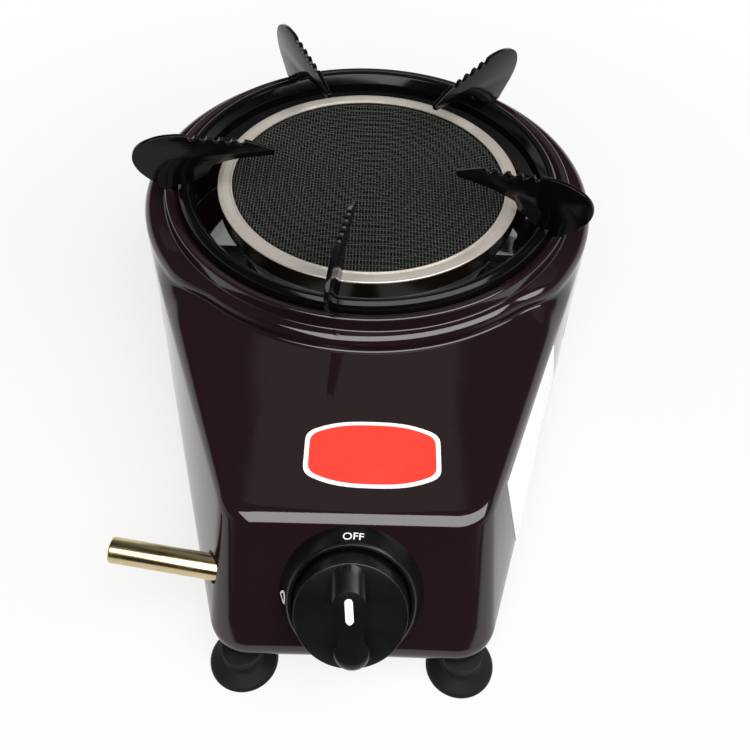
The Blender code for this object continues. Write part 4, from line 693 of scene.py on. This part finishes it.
def weave_tree():
    """Parallel wires across a disc, crimped over and under the wires that cross them, and
    pressed into round ridges."""
    tree = bpy.data.node_groups.new("woven_wires", "GeometryNodeTree")
    for kind, names in (
            ("NodeSocketInt", ("Wires", "Points")),
            ("NodeSocketFloat", ("Pitch", "Cross pitch", "Disc radius", "Wire radius", "Crimp",
                                 "Ridge pitch", "Ridge start", "Ridge height")),
            ("NodeSocketMaterial", ("Finish",))):
        for name in names:
            tree.interface.new_socket(name, in_out="INPUT", socket_type=kind)
    tree.interface.new_socket("Geometry", in_out="OUTPUT", socket_type="NodeSocketGeometry")
    size = add(tree, "NodeGroupInput", {}, {}).outputs
    half_count = add(tree, MATH, {"operation": "MULTIPLY_ADD"}, {0: size["Wires"], 1: -0.5, 2: 0.5})
    first = add(tree, MATH, {"operation": "MULTIPLY"}, {0: half_count, 1: size["Pitch"]})
    start = add(tree, "ShaderNodeCombineXYZ", {}, {"X": first})
    step = add(tree, "ShaderNodeCombineXYZ", {}, {"X": size["Pitch"]})
    anchors = add(tree, "GeometryNodeMeshLine", {"mode": "OFFSET"}, {
        "Count": size["Wires"], "Start Location": start, "Offset": step})
    half_points = add(tree, MATH, {"operation": "MULTIPLY_ADD"}, {0: size["Points"], 1: 0.25, 2: -0.25})
    reach = add(tree, MATH, {"operation": "MULTIPLY"}, {0: half_points, 1: size["Cross pitch"]})
    back = add(tree, MATH, {"operation": "MULTIPLY"}, {0: reach, 1: -1.0})
    line = add(tree, "GeometryNodeCurvePrimitiveLine", {}, {
        "Start": add(tree, "ShaderNodeCombineXYZ", {}, {"Y": back}),
        "End": add(tree, "ShaderNodeCombineXYZ", {}, {"Y": reach})})
    laid = add(tree, "GeometryNodeInstanceOnPoints", {}, {
        "Points": anchors, "Instance": line})
    loose = add(tree, "GeometryNodeRealizeInstances", {}, {0: laid})
    fine = add(tree, "GeometryNodeResampleCurve", {}, {"Curve": loose, "Count": size["Points"]})
    spot = add(tree, "GeometryNodeInputPosition", {}, {})
    away = add(tree, "ShaderNodeVectorMath", {"operation": "LENGTH"}, {0: spot})
    outside = add(tree, "FunctionNodeCompare", {"operation": "GREATER_THAN"}, {
        "A": away.outputs["Value"], "B": size["Disc radius"]})
    disc = add(tree, "GeometryNodeDeleteGeometry", {"domain": "POINT"}, {
        "Geometry": fine, "Selection": outside})
    axes = add(tree, "ShaderNodeSeparateXYZ", {}, {0: spot})
    across = add(tree, MATH, {"operation": "DIVIDE"}, {0: axes.outputs["X"], 1: size["Pitch"]})
    along = add(tree, MATH, {"operation": "DIVIDE"}, {0: axes.outputs["Y"], 1: size["Cross pitch"]})
    total = add(tree, MATH, {"operation": "ADD"}, {0: across, 1: along})
    phase = add(tree, MATH, {"operation": "MULTIPLY"}, {0: total, 1: pi})
    wave = add(tree, MATH, {"operation": "COSINE"}, {0: phase})
    crimp = add(tree, MATH, {"operation": "MULTIPLY"}, {0: wave, 1: size["Crimp"]})
    out = away.outputs["Value"]
    for operation, value in (("SUBTRACT", size["Ridge start"]), ("DIVIDE", size["Ridge pitch"]),
                             ("MULTIPLY", 2 * pi)):
        out = add(tree, MATH, {"operation": operation}, {0: out, 1: value})
    out = add(tree, MATH, {"operation": "COSINE"}, {0: out})
    rise = add(tree, MATH, {"operation": "MULTIPLY_ADD"}, {
        0: out, 1: size["Ridge height"], 2: crimp})
    shift = add(tree, "ShaderNodeCombineXYZ", {}, {"Z": rise})
    formed = add(tree, "GeometryNodeSetPosition", {}, {"Geometry": disc, "Offset": shift})
    profile = add(tree, "GeometryNodeCurvePrimitiveCircle", {"mode": "RADIUS"}, {
        "Resolution": 4, "Radius": size["Wire radius"]})
    wires = add(tree, "GeometryNodeCurveToMesh", {}, {
        "Curve": formed, "Profile Curve": profile, "Fill Caps": True})
    whole = add(tree, "GeometryNodeRealizeInstances", {}, {0: wires})
    looks = add(tree, "GeometryNodeSetMaterial", {}, {"Geometry": whole, "Material": size["Finish"]})
    add(tree, "NodeGroupOutput", {}, {0: looks})
    return tree


def run_tree(name, tree, values):
    """The tree's result as a plain mesh object; values are set by each socket's identifier."""
    obj = link(name, bpy.data.meshes.new(name))
    nodes = obj.modifiers.new("Nodes", "NODES")
    nodes.node_group = tree
    for item in tree.interface.items_tree:
        if item.item_type == "SOCKET" and item.in_out == "INPUT" and item.name in values:
            nodes[item.identifier] = values[item.name]
    return settle(obj)


def make_burner_mesh():
    """Woven wire cloth, pressed into ridges round the burner's centre. The wires that run to the
    back lie nearly straight, and those across them take most of the crimp."""
    disc_r, ridge_pitch, ridge_start, ridge_height = 63.7, 4.9, 2.2, 0.42
    # Millimetres between wires, counted from side to side and from front to back
    side_gap, back_gap = 1.43, 2.0
    tree = weave_tree()
    for name, turn, wires, points, pitch, cross, level, crimp, radius, looks in (
            ("mesh_wires_along", 0, 89, 129, side_gap, back_gap, 70.05, 0.06, 0.20,
             FINISHES["mesh_steel"]),
            ("mesh_wires_across", pi / 2, 65, 181, back_gap, side_gap, 69.86, -0.18, 0.13, CROSS_WIRE_SHADED)):
        cloth = run_tree(name, tree, {
            "Wires": wires, "Points": points, "Pitch": pitch * MM, "Cross pitch": cross * MM,
            "Disc radius": disc_r * MM, "Wire radius": radius * MM, "Crimp": crimp * MM,
            "Ridge pitch": ridge_pitch * MM, "Ridge start": ridge_start * MM,
            "Ridge height": ridge_height * MM, "Finish": looks})
        move_mesh(cloth, AT_BURNER @ Matrix.Translation((0, 0, level * MM)) @ Matrix.Rotation(turn, 4, "Z"))
        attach(cloth, "stove")
    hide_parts("burner_mesh")


# ---- tray and pan supports
def make_tray():
    """Pressed black tray: deep inner wall, rounded crest, short outer lip."""
    outer = rounded([
        (79.9, 67.0, 0), (80.6, 71.0, 2.0), (83.2, 75.2, 1.5), (85.6, 75.9, 1.4), (87.4, 74.3, 1.5),
        (88.4, 71.4, 0),
    ], 6)
    inner = [(87.5, 71.3), (86.6, 73.7), (85.2, 74.7), (83.6, 74.2), (81.6, 71.2), (80.9, 66.9)]
    tray = turned("drip_tray", outer + inner, 192, FINISHES["black_enamel"], AT_BURNER)
    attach(tray, "pan_support")
    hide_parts("pan_tray")


def curve_through(spots, steps):
    """A smooth line through its points, which it keeps."""
    line = []
    for i in range(len(spots) - 1):
        before = Vector(spots[max(i - 1, 0)])
        start, end = Vector(spots[i]), Vector(spots[i + 1])
        after = Vector(spots[min(i + 2, len(spots) - 1)])
        for k in range(steps):
            t = k / steps
            line.append(0.5 * (2 * start + (end - before) * t
                               + (2 * before - 5 * start + 4 * end - after) * t * t
                               + (3 * start - before - 3 * end + after) * t ** 3))
    line.append(Vector(spots[-1]))
    return line


def prong_outline():
    """The prong from the side: arm, foot, skirt under the tray, lobe, notched top and nose."""
    def spot(radial, rise):
        return (TIP_R + radial * REACH, CREST + rise * RISE)

    points = curve_through([spot(*pair) for pair in PRONG_ARM], 3)
    points += curve_through([spot(*pair) for pair in PRONG_FOOT], 3)
    points += curve_through([spot(*pair) for pair in PRONG_SKIRT], 2)
    points += curve_through([spot(*pair) for pair in PRONG_LOBE], 3)[1:]
    first, last = points[-1], Vector(spot(*PRONG_NOTCH_END))
    for i in range(NOTCHES):
        for k in range(9):
            line = first.lerp(last, (i + mix(LAND_SHARE, 1 - LAND_SHARE, k / 8)) / NOTCHES)
            points.append(line - Vector((0, NOTCH_DEPTH * sin(pi * k / 8) ** 0.8)))
    points.append(last)
    points += curve_through([last] + [spot(*pair) for pair in PRONG_NOSE + PRONG_ARM[:1]], 4)[1:-1]
    return points


def make_prongs():
    """Five stamped prongs with eased edges, evenly round the tray."""
    count, first_deg, thick, edge = 5, 262.3, 2.0, 0.3
    curve = bpy.data.curves.new("prong_blank", "CURVE")
    curve.dimensions = "2D"
    curve.fill_mode = "BOTH"
    curve.extrude = (thick / 2 - edge) * MM
    curve.bevel_depth = edge * MM
    curve.offset = -edge * MM
    curve.bevel_resolution = 2
    closed_line(curve, prong_outline())
    flat = drawn_mesh("prong_blank", curve)
    weld(flat, 0.004)
    stand = Matrix.Rotation(pi / 2, 4, "X")
    for i in range(count):
        azimuth = radians(first_deg + 360 / count * i)
        mesh = flat.copy()
        prong = link(f"support_prong_{i + 1}", mesh)
        mesh.transform(AT_BURNER @ Matrix.Rotation(azimuth, 4, "Z") @ stand)
        mesh.materials.clear()
        mesh.materials.append(FINISHES["black_enamel"])
        shade(mesh, 30)
        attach(prong, "pan_support")
        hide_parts(f"pan_prong_{i + 1}")


# ---- dial and knob
def make_dial():
    """Dished collar round the knob, with a thin raised lip."""
    profile = rounded([
        (20.3, 3.9, 0), (20.6, 8.0, 0.3), (21.75, 8.2, 0.25), (DIAL_LIP_R, DIAL_LIP_Z, 0.4),
        (DIAL_FOOT_R, DIAL_FOOT_Z, 0),
    ], 4)
    inner = [(24.1, DIAL_FOOT_Z), (22.9, 2.7), (7.0, 2.7), (7.0, 3.9)]
    dial = turned("dial_collar", profile + inner, 160, FINISHES["dark_plastic"], AT_KNOB)
    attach(dial, "stove")
    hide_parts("dial")


def grip_level(low, high):
    """The grip's outline seen along the stem: round ends and a waist."""
    end_r, waist, waist_at, flare, stations = 5.9, 4.4, -3.5, 8.0, 14
    span = (high - end_r) - (low + end_r)

    def half_width(a):
        return mix(waist, end_r, min(1, ((a - waist_at) / flare) ** 2))

    points = []
    for k in range(17):
        angle = pi + pi * k / 16
        points.append((end_r * cos(angle), low + end_r + end_r * sin(angle)))
    sides = [low + end_r + span * i / stations for i in range(1, stations)]
    points += [(half_width(a), a) for a in sides]
    for k in range(17):
        angle = pi * k / 16
        points.append((end_r * cos(angle), high - end_r + end_r * sin(angle)))
    return points + [(-half_width(a), a) for a in reversed(sides)]


def make_knob():
    """Flat-faced skirt with a raised finger grip: nose at the bottom, ramp towards the pointer."""
    face, grip_low, nose_r, nose_z = 16.9, -17.8, 4.0, 19.0
    ramp_foot, ramp_head, grip_rise = 18.9, 12.1, 6.1
    body = turned("control_knob", rounded([
        (0, face, 0), (19.2, face, 0.45), (20.0, 7.2, 0), (18.2, 7.2, 0), (17.4, 14.6, 0), (6.2, 14.6, 0),
        (6.2, 7.2, 0), (3.3, 7.2, 0), (3.3, 14.6, 0), (0, 14.6, 0),
    ], 3), 160, FINISHES["dark_plastic"], Matrix.Identity(4))
    levels = [(15.7, grip_low), (face, grip_low)]
    for k in range(9):
        turn = pi / 2 * k / 8
        levels.append((nose_z + nose_r * sin(turn), grip_low + nose_r * (1 - cos(turn))))
    points = []
    for height, low in levels:
        high = mix(ramp_foot, ramp_head, max(height - face, 0) / grip_rise)
        points += [(x * MM, a * MM, height * MM) for x, a in grip_level(low, high)]
    around = len(points) // len(levels)
    faces = [tuple(reversed(range(around))), tuple(range(around * (len(levels) - 1), len(points)))]
    for k in range(len(levels) - 1):
        for i in range(around):
            j = (i + 1) % around
            faces.append((k * around + i, k * around + j, (k + 1) * around + j, (k + 1) * around + i))
    grip = mesh_piece("finger_grip", points, faces, FINISHES["dark_plastic"])
    union = body.modifiers.new("Grip", "BOOLEAN")
    union.operation = "UNION"
    union.solver = "EXACT"
    union.object = grip
    edge = body.modifiers.new("Edges", "BEVEL")
    edge.width = 0.25 * MM
    edge.segments = 2
    edge.limit_method = "ANGLE"
    edge.angle_limit = radians(38)
    settle(body, 40.0)
    bpy.data.objects.remove(grip, do_unlink=True)
    move_mesh(body, AT_KNOB @ KNOB_TURNED)
    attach(body, "knob")
    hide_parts("knob")


def make_pointer():
    """White inlaid bar on the grip: round at the top, pointed at the bottom."""
    half, top = 1.35, 8.2
    spots = [(half * cos(pi * k / 10), top + half * sin(pi * k / 10)) for k in range(11)]
    spots += [(-half, 1.5), (-0.45, 0.35), (0.45, 0.35), (half, 1.5)]
    bar = move_mesh(prism("pointer_bar", spots, 22.9, 23.06, WHITE_INK), AT_KNOB @ KNOB_TURNED)
    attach(bar, "knob")


def make_off_mark():
    """The word OFF printed on the collar's cone, above the pointer."""
    text = bpy.data.curves.new("off_mark", "FONT")
    text.body = "OFF"
    text.size = 4.7 * MM
    text.offset = 0.03 * MM
    text.align_x = "CENTER"
    text.align_y = "CENTER"
    text.resolution_u = 6
    print_on_collar("off_mark", text, 0.0, 5.0, 0.9)


def make_flame_mark():
    """An outlined flame on the collar's left: the side that the knob turns to."""
    drawing = bpy.data.curves.new("flame_mark", "CURVE")
    drawing.dimensions = "2D"
    drawing.fill_mode = "BOTH"
    half_wide, half_high, lift = 3.3, 2.9, 0.3
    turns = [2 * pi * k / 36 for k in range(36)]
    for size in (1.0, 0.62):
        closed_line(drawing, [(size * (half_wide * sin(turn) * sin(turn / 2) ** 1.3),
                               size * (half_high * cos(turn) + lift)) for turn in turns])
    print_on_collar("flame_mark", drawing, pi / 2 - 0.01, 4.1, 1.0)


def print_on_collar(name, drawing, turn, middle_h, narrow):
    """Wraps a flat drawing on the collar's cone, turned anticlockwise from its top."""
    drawing.extrude = 0.04 * MM
    lift = 0.03
    mesh = drawn_mesh(name, drawing)
    mark = link(name, mesh)
    slope = atan2(DIAL_FOOT_R - DIAL_LIP_R, DIAL_LIP_Z - DIAL_FOOT_Z)
    middle_r = DIAL_FOOT_R - (middle_h - DIAL_FOOT_Z) * tan(slope)
    for vertex in mesh.vertices:
        across, along, out = vertex.co / MM
        angle = across * narrow / middle_r - turn
        radius = middle_r + along * sin(slope) + (out + lift) * cos(slope)
        height = middle_h - along * cos(slope) + (out + lift) * sin(slope)
        vertex.co = Vector((radius * sin(angle), radius * cos(angle), height)) * MM
    mesh.transform(AT_KNOB)
    mesh.materials.clear()
    mesh.materials.append(WHITE_INK)
    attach(mark, "stove")


# ---- inlet and feet
def make_hose_tail():
    """Plated tube through the left wall, its outer end chamfered."""
    bore, outside, inner_end, outer_end = 3.25, 4.75, -36.7, 31.5
    profile = rounded([
        (bore, inner_end, 0), (bore, outer_end, 0.3), (outside, outer_end, 0.8), (outside, inner_end, 0),
    ], 5)
    pipe = turned("hose_tail_pipe", profile, 64, FINISHES["yellow_zinc"], AT_TAIL)
    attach(pipe, "stove")
    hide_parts("hose_tail")


def make_feet():
    """Moulded feet: short stem, hollow flare and a soft rounded base."""
    profile = rounded([
        (1.9, 11.7, 0), (7.4, 11.7, 0.4), (7.4, 5.6, 1.6), (12.0, 2.1, 0.8), (12.7, 0.9, 0.5),
        (12.7, 0.0, 0.3), (3.6, 0.0, 0), (3.6, 3.6, 0), (1.9, 3.6, 0),
    ], 5)
    for name in ("foot_front_left", "foot_front_right", "foot_rear_left", "foot_rear_right"):
        low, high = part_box(name)
        centre = Vector(((low.x + high.x) / 2, (low.y + high.y) / 2, 0))
        foot = turned(f"{name}_moulding", profile, 72, FINISHES["grey_rubber"], Matrix.Translation(centre))
        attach(foot, "stove")
        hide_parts(name)


# ---- labels
def barrel(half_width, half_height, bow, soft):
    """A label outline: straight sides, bowed top and bottom, rounded corners."""
    least_bend, least_gap = radians(20), 0.05
    top = []
    for k in range(16):
        x = mix(-half_width, half_width, k / 15)
        top.append(Vector((x, half_height - bow * abs(x / half_width) ** 2.8)))
    corners = top + [Vector((p.x, -p.y)) for p in reversed(top)]
    ring = []
    for i, here in enumerate(corners):
        before, after = corners[i - 1], corners[(i + 1) % len(corners)]
        if (here - before).angle(after - here) < least_bend:
            ring.append(here)
            continue
        start = here + (before - here).normalized() * soft
        end = here + (after - here).normalized() * soft
        for k in range(7):
            t = k / 6
            ring.append(start * (1 - t) ** 2 + 2 * here * t * (1 - t) + end * t ** 2)
    kept = []
    for p in ring:
        if not kept or (p - kept[-1]).length > least_gap:
            kept.append(p)
    return kept


def plate(name, ring, low, high, looks, matrix):
    """A thin plate with the ring's outline; its two faces are fans round their middles."""
    count = len(ring)
    points = [(p[0] * MM, p[1] * MM, h * MM) for h in (low, high) for p in ring]
    points += [(0, 0, low * MM), (0, 0, high * MM)]
    faces = []
    for k in range(count):
        m = (k + 1) % count
        faces += [(k, m, count + m, count + k), (m, k, 2 * count), (count + k, count + m, 2 * count + 1)]
    made = move_mesh(mesh_piece(name, points, faces, looks), matrix)
    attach(made, "stove")


def wall_spot(share, rise, off):
    """A point off the right wall: a share of the way to the front corner and of the wall's rise."""
    lower = outline(("right_side", share), DRUM_R + DRUM_LEAN, LOWER_CORNER)
    upper = outline(("right_side", share), DRUM_R, CORNER)
    normal = side_normal(DRUM_R, CORNER)
    return (Vector((mix(lower.x, upper.x, rise), mix(lower.y, upper.y, rise), mix(BOTTOM, BOX_TOP, rise)))
            + off * Vector((cos(normal), sin(normal), 0)))


def wall_sticker(name, corners, looks):
    """A plain sticker that follows the wall, between four corners given as shares."""
    across, up = 24, 8
    sunk, proud = -0.06, 0.26

    def index(layer, i, j):
        return (layer * (across + 1) + i) * (up + 1) + j

    points, faces = [], []
    for off in (sunk, proud):
        for i in range(across + 1):
            low = Vector(corners[0]).lerp(Vector(corners[1]), i / across)
            high = Vector(corners[3]).lerp(Vector(corners[2]), i / across)
            for j in range(up + 1):
                points.append(wall_spot(*low.lerp(high, j / up), off) * MM)
    for layer in (0, 1):
        for i in range(across):
            for j in range(up):
                faces.append([index(layer, *spot) for spot in (
                    (i, j), (i + 1, j), (i + 1, j + 1), (i, j + 1))])
    edge = [(i, 0) for i in range(across)] + [(across, j) for j in range(up)]
    edge += [(i, up) for i in range(across, 0, -1)] + [(0, j) for j in range(up, 0, -1)]
    for one, two in zip(edge, edge[1:] + edge[:1]):
        faces.append([index(0, *one), index(0, *two), index(1, *two), index(1, *one)])
    made = move_mesh(mesh_piece(name, points, faces, looks), AT_BURNER)
    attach(made, "stove")


def make_labels():
    """A plain red label with a white border on the top and a plain white sticker on the right wall."""
    label_at = Vector((5.1, -149.5, BOX_TOP))
    spot = AT_BURNER @ Matrix.Translation(label_at * MM)
    plate("top_label_border", barrel(24.9, 14.6, 5.7, 3.3), -0.05, 0.08, WHITE_VINYL, spot)
    plate("top_label_field", barrel(23.2, 13.0, 5.2, 3.0), 0.02, 0.14, RED_VINYL, spot)
    wall_sticker("wall_sticker", ((0.30, 0.25), (0.775, 0.14), (0.885, 0.86), (0.375, 0.86)), WHITE_VINYL)


set_camera()
set_sweep()
set_room()
set_lamp()
paint_skirt_shade()
dress_solids()
make_housing()
make_trim_ring()
make_burner_mesh()
make_tray()
make_prongs()
make_dial()
make_knob()
make_pointer()
make_off_mark()
make_flame_mark()
make_hose_tail()
make_feet()
make_labels()
